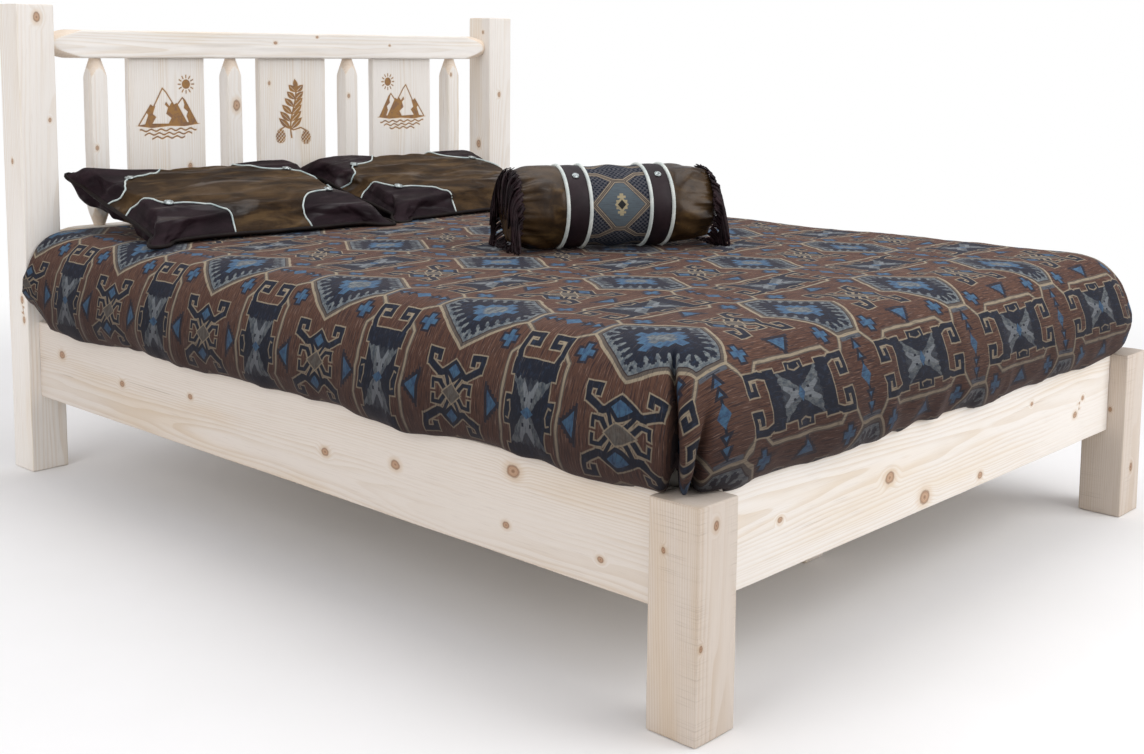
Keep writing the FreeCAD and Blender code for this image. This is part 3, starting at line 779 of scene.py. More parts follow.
def mountain_scene(x, z):
    """Two peaks with snow lines, a sun with rays and three waves of water."""
    shapes = [to_stroke(x, z, path, 0.0034) for path in PEAKS]
    shapes += [to_outline(x, z, corners) for corners in (SHORE, LEFT_SHADE, LOW_SHADE)]
    shapes.append(np.maximum(to_outline(x, z, SHADE), -to_outline(x, z, SNOW)))
    sun_x, sun_z = 0.056, 0.060
    shapes.append(np.hypot(x - sun_x, z - sun_z) - 0.0125)
    for turn in round_turn(12):
        c, s = math.cos(turn), math.sin(turn)
        ray = [(sun_x + far * c, sun_z + far * s) for far in (0.017, 0.024)]
        shapes.append(to_stroke(x, z, ray, 0.0030))
    for row, half in enumerate((0.086, 0.072, 0.050)):
        level = -0.061 - 0.010 * row
        wave = np.abs(z - level - 0.0026 * np.sin((x + 0.006 * row) * 210)) - 0.0019
        shapes.append(np.maximum(wave, np.abs(x) - half))
    return np.minimum.reduce(shapes)


def sprig(x, z):
    """A bent stem with pairs of leaves, each with a vein, a leaf at its tip and two seed cones."""
    x, z = x / 1.45, z / 1.15
    stem_x = 0.007 * np.sin(z * 34)
    shapes = [np.maximum(np.abs(x - stem_x) - 0.0017, np.abs(z + 0.011) - 0.061)]
    for number, height in enumerate(np.linspace(-0.050, 0.042, 6)):
        base = 0.007 * math.sin(height * 34)
        size = 0.040 - 0.0030 * number
        for side in (-1, 1):
            c, s = side * math.cos(0.80), math.sin(0.80)
            u = (x - base) * c + (z - height) * s
            v = -(x - base) * s + (z - height) * c
            leaf = np.abs(v) - 0.0070 * np.sin(np.clip(u / size, 0, 1) * math.pi)
            leaf = np.maximum(leaf, np.maximum(-u, u - size))
            vein = np.maximum(np.abs(v) - 0.0006, np.maximum(0.004 - u, u - 0.8 * size))
            shapes.append(np.maximum(leaf, -vein))
    tip_size = 0.027
    tip_u = (z - 0.048) / tip_size
    tip = np.abs(x - stem_x) - 0.0056 * np.sin(np.clip(tip_u, 0, 1) * math.pi)
    shapes.append(np.maximum(tip, np.maximum(-tip_u, tip_u - 1) * tip_size))
    for cx, cz in millimetres((-31, -66), (30, -71)):
        dx, dz = x - cx, z - cz
        cone = np.hypot(dx / (0.62 - 4 * dz), dz) - 0.0185
        scales = [np.abs(np.sin((dx * 1.25 + side * dz) * 330)) for side in (1, -1)]
        gaps = np.minimum(*scales) * 0.003 - 0.0008
        shapes.append(np.maximum(cone, -gaps))
        shapes.append(to_stroke(x, z, [(cx, cz + 0.017), (cx * 0.6, cz + 0.024), (0.0, -0.052)], 0.0030))
    return np.minimum.reduce(shapes)


class BED_OT_panels(BedPiece, bpy.types.Operator):
    """The three headboard panels with their engraved lines"""

    bl_idname = "bed.panels"
    bl_label = "Headboard panels"

    def execute(self, context):
        panels = {"left": (mountain_scene, 1, 0.905, (0.064, 0.744, 0.006)),
                  "centre": (sprig, 1, 0.890, (-0.082, 0.965, 0.004)),
                  "right": (mountain_scene, -1, 0.905, (0.075, 0.700, 0.008))}
        cut_depth = 0.0011
        for seed, (name, (drawing, hand, height, spot)) in enumerate(panels.items(), 41):
            low, high = node_box("panel_" + name)
            middle = (low[0] + high[0]) / 2

            def carve(points, drawing=drawing, hand=hand, height=height, middle=middle, front=low[1]):
                away = drawing(hand * (points[:, 0] - middle), points[:, 2] - height)
                face = points[:, 1] < front + 0.004
                carved = points.copy()
                carved[:, 1] += np.where(face, cut_depth * (1 - eased(away, -0.0012, 0.0003)), 0)
                return carved, np.where(face, away, 0.05)

            dx, z, radius = spot
            fine = (((middle - 0.098, middle + 0.098, 0.0016),), (),
                    ((height - 0.095, height + 0.090, 0.0016),))
            board("panel_carved_" + name, "panel_" + name, low, high, 2, (middle + 0.02, low[1] - 0.055),
                  [(middle + dx, low[1], z, 1, radius, 0.05)], seed, fine=fine, carve=carve,
                  finish="engraved_pine", slot="panel_pine")
        return {"FINISHED"}


class BED_OT_platform(BedPiece, bpy.types.Operator):
    """Finishes of the cleats, slats, centre beam and legs, and of the steel plates, with their screws"""

    bl_idname = "bed.platform"
    bl_label = "Platform and fasteners"

    def execute(self, context):
        grains = {"slat": 0, "cleat": 1, "centre_beam": 1, "centre_leg": 2}
        finishes = {axis: pine("platform_pine_" + "xyz"[axis], axis) for axis in (0, 1, 2)}
        plated = steel("zinc_plate")
        heads = []
        for name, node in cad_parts.items():
            finish = plated if "_plate_" in name else None
            for start, axis in grains.items():
                if name.startswith(start):
                    finish = finishes[axis]
            if finish is not None:
                node.data.materials.clear()
                node.data.materials.append(finish)
            if name.startswith("slat_"):
                low, high = node_box(name)
                heads += [(x, y, high[2]) for x in (low[0] + 0.018, high[0] - 0.018)
                          for y in (low[1] + 0.022, high[1] - 0.022)]
        screw_heads("slat_screws", np.array(heads), 0.0042, plated)
        return {"FINISHED"}


def screw_heads(name, places, radius, finish):
    """Low domed heads with a cross recess: rings about Z whose height falls towards the rim."""
    turn = round_turn(12)
    reach = np.array([0.25, 0.5, 0.8, 1.0, 1.0])
    rise = np.array([-0.10, 0.30, 0.22, 0.08, -0.2]) * radius
    rings = np.stack([np.outer(reach, np.cos(turn)) * radius, np.outer(reach, np.sin(turn)) * radius,
                      np.repeat(rise[:, None], len(turn), 1)], -1)
    one, faces = capped(rings, [0, 0, -0.25 * radius], [0, 0, -0.2 * radius])
    points = (places[:, None, :] + one[None]).reshape(-1, 3)
    shift = (np.arange(len(places)) * len(one))[:, None, None]
    faces = [(group[None] + shift).reshape(-1, group.shape[1]) for group in faces]
    return mesh_piece(name, points, faces, {}, finish, "frame", slot="steel")


class BED_OT_timber_finishes(BedPiece, bpy.types.Operator):
    """The pine finishes that the boards share"""

    bl_idname = "bed.timber_finishes"
    bl_label = "Pine finishes"

    def execute(self, context):
        pine("washed_pine")
        pine("engraved_pine", engraved=True)
        return {"FINISHED"}


class BED_OT_quilt(BedPiece, bpy.types.Operator):
    """The woven comforter that hangs over the sides and the foot, and its lining"""

    bl_idname = "bed.quilt"
    bl_label = "Comforter"

    def execute(self, context):
        colours = context.scene.bed_quilt
        bed_low, bed_high = node_box("mattress")
        head = node_box("comforter")[1][1]
        form = QuiltForm(bed_low, bed_high, head, colours.point_pitch, colours.wrinkle)
        points, faces, cloth, depth = form.build()
        filled, at_hem = 0.016, 0.005
        thick = filled - (filled - at_hem) * eased(depth, form.edge, form.hem)
        inner = points - point_normals(points, faces) * thick[:, None]
        count = len(points)
        closed = faces + [group[:, ::-1] + count for group in faces] + [rim_faces(faces, count)]
        both = np.concatenate([points, inner])
        fields = {"cloth": np.tile(cloth, (2, 1)), "depth": np.tile(depth, 2),
                  "lining": np.repeat([0.0, 1.0], count)}
        piece = mesh_piece("comforter_woven", both, turned_outward(both, closed), fields,
                           woven_quilt("woven_quilt", form.hem), "comforter", stands_for=("comforter",),
                           slot="woven_quilt")
        return {"FINISHED"}


def point_normals(points, faces):
    """Mean direction of the faces round each point, weighted by their areas."""
    total = np.zeros_like(points)
    for group in faces:
        a, b, c = points[group[:, 0]], points[group[:, 1]], points[group[:, 2]]
        if group.shape[1] == 4:
            across = np.cross(c - a, points[group[:, 3]] - b)
        else:
            across = np.cross(b - a, c - a)
        for column in range(group.shape[1]):
            np.add.at(total, group[:, column], across)
    return unit(total)


def rim_faces(faces, count):
    """Squares between the open edges of a surface and the same edges of its copy, numbered count higher."""
    edges = np.concatenate([np.stack([group[:, k], group[:, (k + 1) % group.shape[1]]], 1)
                            for group in faces for k in range(group.shape[1])])
    keys = np.sort(edges, axis=1)
    keys = keys[:, 0].astype(np.int64) * (count + 1) + keys[:, 1]
    _, first, times = np.unique(keys, return_index=True, return_counts=True)
    open_edges = edges[first[times == 1]]
    a, b = open_edges[:, 0], open_edges[:, 1]
    return np.stack([b, a, a + count, b + count], 1)


class QuiltForm:
    """The comforter's surface.

    Its section falls from the flat top over the mattress's edge in a bulge and turns under at the
    hem; a distance along that section, measured on the cloth, is d. Along the sides and the foot
    the section is carried straight; round each foot corner it fans about the inner corner, where
    the spare cloth is lost in one deep pleat. split is the turn of that pleat from the side, and
    inset is how far the inner corner lies within the mattress.
    """

    section = np.array(((-0.070, 0.6056), (-0.030, 0.6040), (0.0176, 0.5905), (0.0528, 0.5563),
                        (0.080, 0.4935), (0.088, 0.436), (0.0815, 0.4050), (0.0620, 0.3825),
                        (0.0400, 0.3800)))
    inset = 0.070
    split = 0.62

    def __init__(self, bed_low, bed_high, head, pitch, wrinkle):
        self.side = bed_high[0]
        self.foot = bed_low[1]
        self.head = head
        self.pitch = pitch
        self.wrinkle = wrinkle
        steps = walked(self.section)
        fine = np.linspace(0, steps[-1], 400)
        self.out, self.height = (curve_through(steps, self.section[:, k], fine) for k in (0, 1))
        self.walk = walked(np.stack([self.out, self.height], 1))
        self.edge, self.hem = self.walk[60], self.walk[-1]

    def on_section(self, d):
        """How far out from the inner corner and how high the cloth lies at d."""
        return np.interp(d, self.walk, self.out) + self.inset, np.interp(d, self.walk, self.height)

    def build(self):
        """The sheet from its top, two sides, foot and two corners, joined and folded."""
        inner_x = self.side - self.inset
        inner_y = self.foot + self.inset
        fine_hem = self.hem - 0.05
        tall = np.concatenate([np.linspace(0, fine_hem, int(fine_hem / self.pitch)),
                               np.linspace(fine_hem, self.hem, 9)[1:]])
        long = np.linspace(inner_y, self.head, int((self.head - inner_y) / (1.25 * self.pitch)))
        wide = np.linspace(-inner_x, inner_x, int(2 * inner_x / (1.3 * self.pitch)))
        parts = []
        x, y = np.meshgrid(wide, long, indexing="ij")
        parts.append(self.patch(x, y, 0 * x, 0 * x, 0 * x, x, y, 0 * x, flip=True))
        for hand in (-1, 1):
            y, d = np.meshgrid(long, tall, indexing="ij")
            parts.append(self.patch(hand * inner_x + 0 * d, y, hand + 0 * d, 0 * d, d,
                                    hand * (inner_x + d), y, hand * (y - inner_y + self.side),
                                    flip=hand < 0))
        x, d = np.meshgrid(wide, tall, indexing="ij")
        parts.append(self.patch(x, inner_y + 0 * d, 0 * d, -1 + 0 * d, d, x, inner_y - d,
                                x * self.side / inner_x))
        turns = np.concatenate([np.linspace(0, self.split - 0.16, 14),
                                self.split + np.linspace(-0.14, 0.14, 15),
                                np.linspace(self.split + 0.165, math.pi / 2, 30)])
        for hand in (-1, 1):
            turn, d = np.meshgrid(turns, tall, indexing="ij")
            power = 2 / (2.0 + 0.9 * eased(d, 0.05, 0.25))
            cx, cy = np.cos(turn) ** power, np.sin(turn) ** power
            reach, _ = self.on_section(d)
            share = np.where(d < 1e-4, 1, reach / np.maximum(d, 1e-6))
            flat = np.where(turn <= self.split, turn * share, math.pi / 2 - (math.pi / 2 - turn) * share)
            u = hand * (inner_x + d * np.cos(flat))
            v = inner_y - d * np.sin(flat)
            parts.append(self.patch(hand * inner_x + 0 * d, inner_y + 0 * d, hand * cx, -cy, d, u, v,
                                    hand * self.side + 0 * d, flip=hand > 0, turn=turn - self.split))
        points, squares, cloth, depth = zip(*parts)
        base = np.cumsum([0] + [len(part) for part in points[:-1]])
        faces = [group + start for group, start in zip(squares, base)]
        points, cloth, depth = (np.concatenate(lists) for lists in (points, cloth, depth))
        first, faces = merged(points, faces, 1e-5)
        return self.shaped(points[first], cloth[first], depth[first], faces)

    def patch(self, x, y, out_x, out_y, d, u, v, around, flip=False, turn=None):
        """A part of the sheet: points at the distance d out from x and y, and their places on the cloth."""
        reach, height = self.on_section(d)
        points = np.stack([x + out_x * reach, y + out_y * reach, height], -1).reshape(-1, 3)
        squares = grid_faces(np.arange(x.size).reshape(x.shape))
        if flip:
            squares = squares[:, ::-1]
        away = np.full(x.size, 9.0) if turn is None else turn.ravel()
        cloth = np.stack([u.ravel(), v.ravel(), away, around.ravel()], 1)
        return points, squares, cloth, d.ravel()

    def shaped(self, points, cloth, depth, faces):
        """Folds, wrinkles, the drooping hem and the pleats, each moved along the normals or down."""
        u, v, away, around = cloth.T
        low = eased(depth, 0.06, 0.30)
        wave = drift(u * 5.2, v * 5.2, 71) * 0.6 + drift(u * 11, v * 11, 72) * 0.4
        fine = drift(u * 26, v * 26, 73) * 0.6 + drift(u * 55, v * 55, 74) * 0.4
        folds = drift(around * 8.5, depth * 3.0, 75) * 0.6 + drift(around * 19, depth * 6.0, 76) * 0.4
        creases = 1 - np.abs(drift(around * 10 + 2.2 * depth, depth * 20, 77))
        height = self.wrinkle * (1.7 * wave + 0.45 * fine)
        height += low * (0.0085 * folds + 0.0045 * (creases ** 3 - 0.35))
        rolls = np.exp(-((depth - self.hem + 0.075) / 0.02) ** 2)
        height += 0.004 * rolls * drift(around * 15, 3.0, 78)
        fall = eased(depth, 0.12, self.hem)
        tuck = 0.035 * fall
        slit = np.exp(-((away + 0.02) / (0.040 + tuck)) ** 2) * eased(depth, 0.07, 0.17)
        second = np.exp(-((away - 0.50 + 0.26 * fall) / (0.035 + tuck)) ** 2) * eased(depth, 0.16, 0.26)
        lip = np.exp(-((away - 0.20 + 0.08 * fall) / 0.10) ** 2) * eased(depth, 0.06, 0.20)
        back = np.exp(-((away + 0.22) / 0.10) ** 2) * eased(depth, 0.10, 0.24)
        height += -0.062 * slit - 0.030 * second + 0.012 * lip + 0.005 * back
        moved = points + point_normals(points, faces) * height[:, None]
        droop = eased(depth, self.hem - 0.10, self.hem - 0.02)
        hang = 0.006 + 0.007 * drift(around * 4.6, 1.5, 79) + 0.003 * drift(around * 14, 2.5, 80)
        over_post = eased(np.abs(points[:, 0]), 0.70, 0.76) * eased(-points[:, 1], 0.93, 0.98)
        post_top = 0.3845
        moved[:, 2] -= droop * hang * (1 - over_post)
        moved[:, 2] = np.where(over_post > 0.5, np.maximum(moved[:, 2], post_top), moved[:, 2])
        lift = eased(points[:, 1], 0.90, 1.0)
        moved[:, 2] += lift * eased(depth, 0.15, self.hem) * 0.050
        crown = 0.004 * (1 - (points[:, 0] / 0.75) ** 2) * (1 - (points[:, 1] / 1.05) ** 2)
        moved[:, 2] += crown * (1 - eased(depth, 0.0, 0.08))
        top = self.section[0][1] - 0.0012
        for name in ("pillow_left", "pillow_right", "bolster"):
            low, high = node_box(name)
            beyond = np.abs(moved - (low + high) / 2) - (high - low) / 2 + 0.02
            outside = np.clip(beyond[:, :2], 0, None)
            under = 1 - eased(np.hypot(outside[:, 0], outside[:, 1]), 0.0, 0.06)
            moved[:, 2] -= under * np.clip(moved[:, 2] - top, 0, None)
        return moved, faces, cloth[:, :3], depth


def curve_through(places, values, wanted):
    """A smooth curve through values at growing places.

    Its pieces are cubic, and their slopes are the means of the neighbouring slopes.
    """
    slopes = np.diff(values) / np.diff(places)
    tangents = np.concatenate([slopes[:1], (slopes[:-1] + slopes[1:]) / 2, slopes[-1:]])
    piece = np.clip(np.searchsorted(places, wanted, side="right") - 1, 0, len(places) - 2)
    width = places[piece + 1] - places[piece]
    t = (wanted - places[piece]) / width
    return ((1 + 2 * t) * (1 - t) ** 2 * values[piece] + t * (1 - t) ** 2 * width * tangents[piece]
            + t * t * (3 - 2 * t) * values[piece + 1] + t * t * (t - 1) * width * tangents[piece + 1])


def shader_stroke(x, y, path, width, square=False):
    """Distance from the edge of a line drawn through a path: the nearest of the distances to its parts.

    A square stroke measures the longer of the two ways to its line, so its ends and turns are
    square and its slanting parts are broader.
    """
    f = x.finish
    nearest = None
    for (x0, y0), (x1, y1) in zip(path, path[1:]):
        dx, dy = x1 - x0, y1 - y0
        size = dx * dx + dy * dy
        part = f.sum("MULTIPLY_ADD", y, dy / size, -(x0 * dx + y0 * dy) / size)
        part = f.sum("MULTIPLY_ADD", x, dx / size, part, clamp=True)
        away_x = f.sum("MULTIPLY_ADD", part, -dx, x - x0)
        away_y = f.sum("MULTIPLY_ADD", part, -dy, y - y0)
        if square:
            far = abs(away_x).over(abs(away_y))
        else:
            far = f.sum("MULTIPLY_ADD", away_x, away_x, away_y * away_y)
        nearest = far if nearest is None else nearest.under(far)
    return (nearest if square else nearest ** 0.5) - width / 2


def shader_box(x, y, half_x, half_y):
    """Distance from a rectangle about the origin, for x and y that are not negative."""
    return (x - half_x).over(y - half_y)


def woven_quilt(name, hem):
    """The woven pattern: medallions, hooked figures, totems, arrows and crosses between cream lattice lines.

    The cloth's own coordinates are folded into one quarter of the repeat, so that p and q are the
    distances from the nearest medallion, and each figure is worked out once from distances to its
    outline. Its colour is darkened down the hanging sides, and most where the cloth turns under at
    the hem, as painted shade; its lining is plain.
    """
    c = bpy.context.scene.bed_quilt
    f = Finish(name)
    half = c.repeat / 2
    u, v, _ = f.parts(f.read("cloth", "Vector"))
    noise = f.noise_over(u, v, 1.0)
    warp = noise(18, 18, 0.0, 3.0)
    warp_two = noise(18, 18, 4.0, 3.0)
    p = abs(((u + (warp - 0.5) * 0.008 + 0.735) / c.repeat + 0.5).part() - 0.5) * c.repeat
    q = abs(((v + (warp_two - 0.5) * 0.008 + 0.942) / c.repeat + 0.5).part() - 0.5) * c.repeat
    a, b = half - p, half - q
    soft = 0.0007

    def inside(distance, edge=0.0):
        return distance.fall(edge - soft, edge + soft)

    def laid(tone, *layers):
        """Each layer covers the tone inside a distance: the distance, its edge, a share and a colour."""
        for distance, edge, share, colour in layers:
            tone = f.mix(inside(distance, edge) * share, tone, colour)
        return tone

    def stepped(distance, step):
        """The distance in whole steps, each at its middle."""
        return ((distance / step).sum("FLOOR", distance / step) + 0.5) * step

    slub = noise(26, 480, 0.0, 2.0, 0.6)
    hair = noise(34, 620, 7.0, 2.0, 0.55)
    thread = noise(900, 900, 0.0, 1.0)
    cloud = noise(3.2, 3.2, 1.0, 3.0, 0.6)
    worn = noise(60, 240, 2.0, 3.0, 0.65)
    marble = noise(70, 110, 5.0, 3.0, 0.6)
    grey = f.mix(marble.rise(0.36, 0.64), dye(78, 87, 95), dye(122, 128, 128))
    blue = f.mix(marble.rise(0.40, 0.66), c.blue, dye(52, 78, 108))
    navy = f.mix(marble.rise(0.50, 0.70) * 0.5, c.navy, dye(44, 60, 82))
    shade = dye(92, 84, 76)
    tone = f.mix(cloud.rise(0.35, 0.68) * 0.55, c.ground, dye(102, 72, 56))
    tone = f.mix(slub.rise(0.46, 0.66) * 0.75, tone, c.ground_dark)
    tone = f.mix(hair.rise(0.56, 0.74) * 0.62, tone, dye(156, 126, 110))
    lattice = shader_stroke(p, q, ((0.030, 0.1125), (0.063, 0.160), (0.098, 0.125), (0.20, 0.125)), 0.0)
    slope = p * 0.8218 + q * 0.5698 - 0.08875
    level = q - 0.1125
    medal = level.over(slope)
    link = shader_box(p, abs(q - 0.1205), 0.030, 0.0048)
    tone = laid(tone, (link, 0, 0.85, c.grey),
                (lattice, 0.0052, 0.85, shade), (lattice, 0.0026, 0.95, c.line),
                (medal, 0.0045, 1, c.line), (medal, -0.0008, 1, shade), (medal, -0.0062, 1, c.ground_dark),
                (medal, -0.0080, 1, grey))
    flat_side = level.sum("GREATER_THAN", level, slope)
    tooth_pitch = 0.0190
    run = (q * 0.8218 - p * 0.5698) / tooth_pitch + 0.25
    run = run + flat_side * (p / tooth_pitch + 0.5 - run)
    tooth = abs(run.part() - 0.5)
    depth = (medal + 0.0105) * (-1 / 0.026)
    comb = (tooth - depth * 0.36 - 0.10).over(0.12 - depth)
    comb = comb.under((abs(depth - 0.34) - 0.10).over(tooth - 0.36))
    tone = f.mix(comb.fall(-0.03, 0.03) * inside(medal, -0.0105), tone, navy)
    tone = f.mix(inside(medal, -0.0330), tone, navy)
    sp, sq = stepped(p, 0.0085), stepped(q, 0.0085)
    star = (sp - 0.011).over(sq - 0.052).under((sq - 0.011).over(sp - 0.050))
    star = star.under((sp + sq - 0.056).over(sp.over(sq) - 0.034))
    core = inside(medal, -0.035)
    tone = f.mix(inside(star) * core, tone, blue)
    tone = f.mix((sp + sq - 0.028).fall(0.0, 0.001) * core, tone, grey)

    hook = shader_stroke(a, q, ((0.041, 0.0), (0.034, 0.034), (0.050, 0.064), (0.070, 0.066), (0.070, 0.044),
                                (0.060, 0.044)), 0.0112, square=True)
    small = shader_stroke(a, q, ((0.006, 0.018), (0.020, 0.030), (0.020, 0.047), (0.008, 0.047)), 0.0070,
                          square=True)
    stem = (abs(a * 0.62 - q) - 0.0042).over(a - 0.040)
    figure = hook.under(small).under(stem).under(abs(a - 0.041) * 0.8 + q * 0.6 - 0.0170)
    pebble = f.mix(marble.rise(0.4, 0.6), dye(104, 100, 92), shade)
    tone = laid(tone, (figure, 0.0026, 0.92, c.line), (figure, 0, 1, navy),
                (a * 0.8 + q * 0.6, 0.0165, 0.9, c.line), (a * 0.8 + q * 0.6, 0.0140, 1, pebble),
                (abs(a - 0.041) * 0.8 + q * 0.68, 0.0105, 1, blue))

    body = shader_box(a, b, 0.025, 0.0555).under(shader_box(a, b, 0.062, 0.041))
    body = body.under(shader_box(abs(a - 0.074), b, 0.015, 0.050))
    ear = shader_stroke(a, b, ((0.084, 0.040), (0.104, 0.047), (0.135, 0.046), (0.136, 0.017), (0.118, 0.017),
                               (0.118, 0.030)), 0.0108, square=True)
    totem = body.under(ear)
    ragged = (marble - 0.5) * 0.012 + abs((b / 0.013).part() - 0.5) * 0.010
    glass = (b - a * 0.62 - 0.0065 - ragged * 0.4).over(a - 0.052 - ragged)
    pale = (b - a * 0.36 - 0.002).over(a - 0.044 - ragged * 2)
    jaw = (b - (a - 0.030) * 0.62).over(0.030 - a + ragged).over(glass)
    mark = shader_box(abs(a - 0.022), abs(b - 0.0085), 0.0035, 0.0022)
    wing = shader_stroke(a, b, ((0.0, 0.040), (0.016, 0.044), (0.014, 0.050)), 0.0028, square=True)
    tone = laid(tone, (totem, 0.0026, 0.92, c.line), (totem, 0, 1, navy),
                (glass, 0, 1, f.mix(0.25, grey, navy)), (pale, 0, 0.70, dye(132, 138, 142)),
                (jaw, 0, 0.80, navy), (mark, 0, 1, navy), (wing, 0, 0.8, c.line),
                (a * 0.8 + b * 0.6, 0.0085, 1, blue))

    notch = ((b - 0.026) / 0.022).part()
    arrow = (p - 0.0135 * (1 - notch)).over((0.026 - b).over(b - 0.070))
    tone = laid(tone, (arrow, 0.0015, 0.9, navy), (arrow, -0.0050, 1, blue),
                (shader_box(p, b, 0.0030, 0.026), 0, 1, navy), (p * 0.8 + b * 0.6, 0.0120, 1, blue))

    across, along = abs(p - 0.073), abs(q - 0.102)
    cross = shader_box(across, along, 0.0058, 0.0170).under(shader_box(across, along, 0.0170, 0.0058))
    arrowhead = (stepped(a, 0.006) + q * 0.9 - 0.112).over(0.082 - q)
    tone = laid(tone, (cross, 0.0045, 0.85, navy), (cross, 0, 1, blue), (arrowhead, 0, 0.85, navy),
                ((a + q * 0.9 - 0.1025).over(0.089 - q), 0, 1, blue))

    tone = f.mix(worn.rise(0.54, 0.72) * 0.55, tone, dye(36, 28, 32))
    tone = f.mix(slub.rise(0.50, 0.70) * 0.40, tone, dye(38, 33, 40))
    tone = f.mix(hair.rise(0.60, 0.78) * 0.22, tone, dye(168, 152, 140))
    down = f.read("depth")
    # Painted shade: the hanging sides and foot are multiplied darker from the top's edge downward
    tone = f.mix(down.rise(0.05, 0.30), tone, dye(176, 172, 174), blend="MULTIPLY")
    # Painted shade: darker again near the hem, and most in its last few centimetres, where the cloth turns
    # under
    tone = f.mix(down.rise(hem - 0.13, hem - 0.02) * 0.34, tone, dye(30, 22, 24))
    tone = f.mix(down.rise(hem - 0.045, hem - 0.010) * 0.65, tone, dye(26, 19, 21))
    lining = f.mix(slub.rise(0.4, 0.6) * 0.5, dye(58, 46, 46), dye(40, 34, 38))
    tone = f.mix(f.read("lining"), tone, lining)
    height = slub * 0.7 + thread * 0.35 + hair * 0.3 + inside(medal, 0.0045) * 0.12
    rough = 0.70 + 0.16 * thread
    return f.close(Base_Color=tone, Roughness=rough, Specular_IOR_Level=0.22, Sheen_Weight=0.05,
                   Sheen_Roughness=0.45, Sheen_Tint=dye(235, 205, 200), Normal=f.bump(height, 0.0009, 0.6))


class BED_OT_mattress(BedPiece, bpy.types.Operator):
    """The quilted mattress with its two welts"""

    bl_idname = "bed.mattress"
    bl_label = "Mattress"

    def execute(self, context):
        low, high = node_box("mattress")
        middle, half = (low + high) / 2, (high - low) / 2
        finish = ticking("ticking")
        corner, seam_pitch, seam_depth = 0.063, 0.14, 0.007
        points, faces = rounded_pad(low + [0.002, 0.002, 0], high - [0.002, 0.002, 0.004], corner, 0.024,
                                    pitch=0.016)
        x, y = points[:, 0], points[:, 1]
        edge = (half - np.abs(points - middle))[:, :2].min(1)
        flat = eased(edge, 0.010, 0.06) * (points[:, 2] > middle[2])
        ways = (x + y) * math.pi / seam_pitch, (x - y) * math.pi / seam_pitch
        diamond = np.abs(np.sin(ways[0]) * np.sin(ways[1])) ** 0.45
        points[:, 2] -= flat * seam_depth * (1 - diamond)
        fields = {"seam": np.where(flat > 0.5, 1 - eased(diamond, 0.12, 0.3), 0.0)}
        piece = mesh_piece("mattress_quilted", points, faces, fields, finish, "mattress",
                           stands_for=("mattress",), slot="ticking")
        for name, level in (("top", high[2] - 0.026), ("base", low[2] + 0.024)):
            path = rounded_path(low + 0.001, high - 0.001, corner - 0.001, level)
            points, faces = tube(path, 0.0042, 10, closed=True)
            mesh_piece("mattress_welt_" + name, points, faces, {"seam": 0.0}, finish, "mattress",
                       slot="ticking")
        return {"FINISHED"}


def rounded_pad(low, high, corner, bevel, pitch):
    """A closed box grid with round upright corners and a rolled bevel.

    In plan the part of a point beyond the straight sides is turned from a square's corner into a
    circle's; then the distance from the outline and the height are rolled round a ball of the bevel.
    """
    middle, half = (low + high) / 2, (high - low) / 2
    points, faces = box_grid([stops(low[k], high[k], pitch, corner if k < 2 else bevel) for k in range(3)])
    local = points - middle
    inner = np.clip(local[:, :2], corner - half[:2], half[:2] - corner)
    beyond = local[:, :2] - inner
    size = np.linalg.norm(beyond, axis=1)
    reach = np.abs(beyond).max(1)
    way = beyond / np.maximum(size, 1e-9)[:, None]
    depth = corner - reach
    rolled_depth = np.maximum(depth, bevel)
    rolled_high = np.clip(local[:, 2], bevel - half[2], half[2] - bevel)
    off_depth, off_high = depth - rolled_depth, local[:, 2] - rolled_high
    off = np.maximum(np.hypot(off_depth, off_high), 1e-9)
    depth = rolled_depth + bevel * off_depth / off
    shaped = np.empty_like(points)
    shaped[:, :2] = middle[:2] + inner + way * np.maximum(corner - depth, 0)[:, None]
    shaped[:, 2] = middle[2] + rolled_high + bevel * off_high / off
    return shaped, faces


def rounded_path(low, high, radius, z, step=0.02):
    """Points round a level rectangle with round corners."""
    turn = np.linspace(0, math.pi / 2, 10)
    near, far = low + radius, high - radius
    corners = ((far[0], far[1]), (near[0], far[1]), (near[0], near[1]), (far[0], near[1]))
    path = np.concatenate([np.stack([x + radius * np.cos(turn + k * math.pi / 2),
                                     y + radius * np.sin(turn + k * math.pi / 2), 0 * turn + z], 1)
                           for k, (x, y) in enumerate(corners)])
    return evenly(path, step)


def evenly(path, step):
    """The same closed line with points about a step apart."""
    path = np.concatenate([path, path[:1]])
    walk = walked(path)
    wanted = np.linspace(0, walk[-1], max(3, int(walk[-1] / step) + 1))[:-1]
    return np.stack([np.interp(wanted, walk, path[:, k]) for k in range(3)], 1)


def tube(path, radius, sides=8, closed=False, up=None):
    """A round tube: circles about the path, each upright to it; an open one ends in a point at either end.

    up is a direction that the path never takes.
    """
    if closed:
        along = unit(np.roll(path, -1, axis=0) - np.roll(path, 1, axis=0))
    else:
        along = unit(np.gradient(path, axis=0))
    if up is None:
        up = np.where(np.abs(along[:, 2:3]) > 0.95, [[0.0, 1.0, 0.0]], [[0.0, 0.0, 1.0]])
    across = unit(np.cross(np.broadcast_to(up, along.shape), along))
    upward = np.cross(along, across)
    turn = round_turn(sides)[None, :, None]
    rings = path[:, None] + radius * (across[:, None] * np.cos(turn) + upward[:, None] * np.sin(turn))
    if not closed:
        return capped(rings, path[0], path[-1])
    numbers = np.arange(len(path) * sides).reshape(-1, sides)
    points = rings.reshape(-1, 3)
    faces = [grid_faces(np.concatenate([numbers, numbers[:1]]), wrap=True)]
    return points, turned_outward(points - points.mean(0), faces)


def joined_shapes(shapes):
    """Several closed shapes as one list of points and faces."""
    base = np.cumsum([0] + [len(points) for points, _ in shapes])
    faces = [group + start for (_, groups), start in zip(shapes, base) for group in groups]
    return np.concatenate([points for points, _ in shapes]), faces


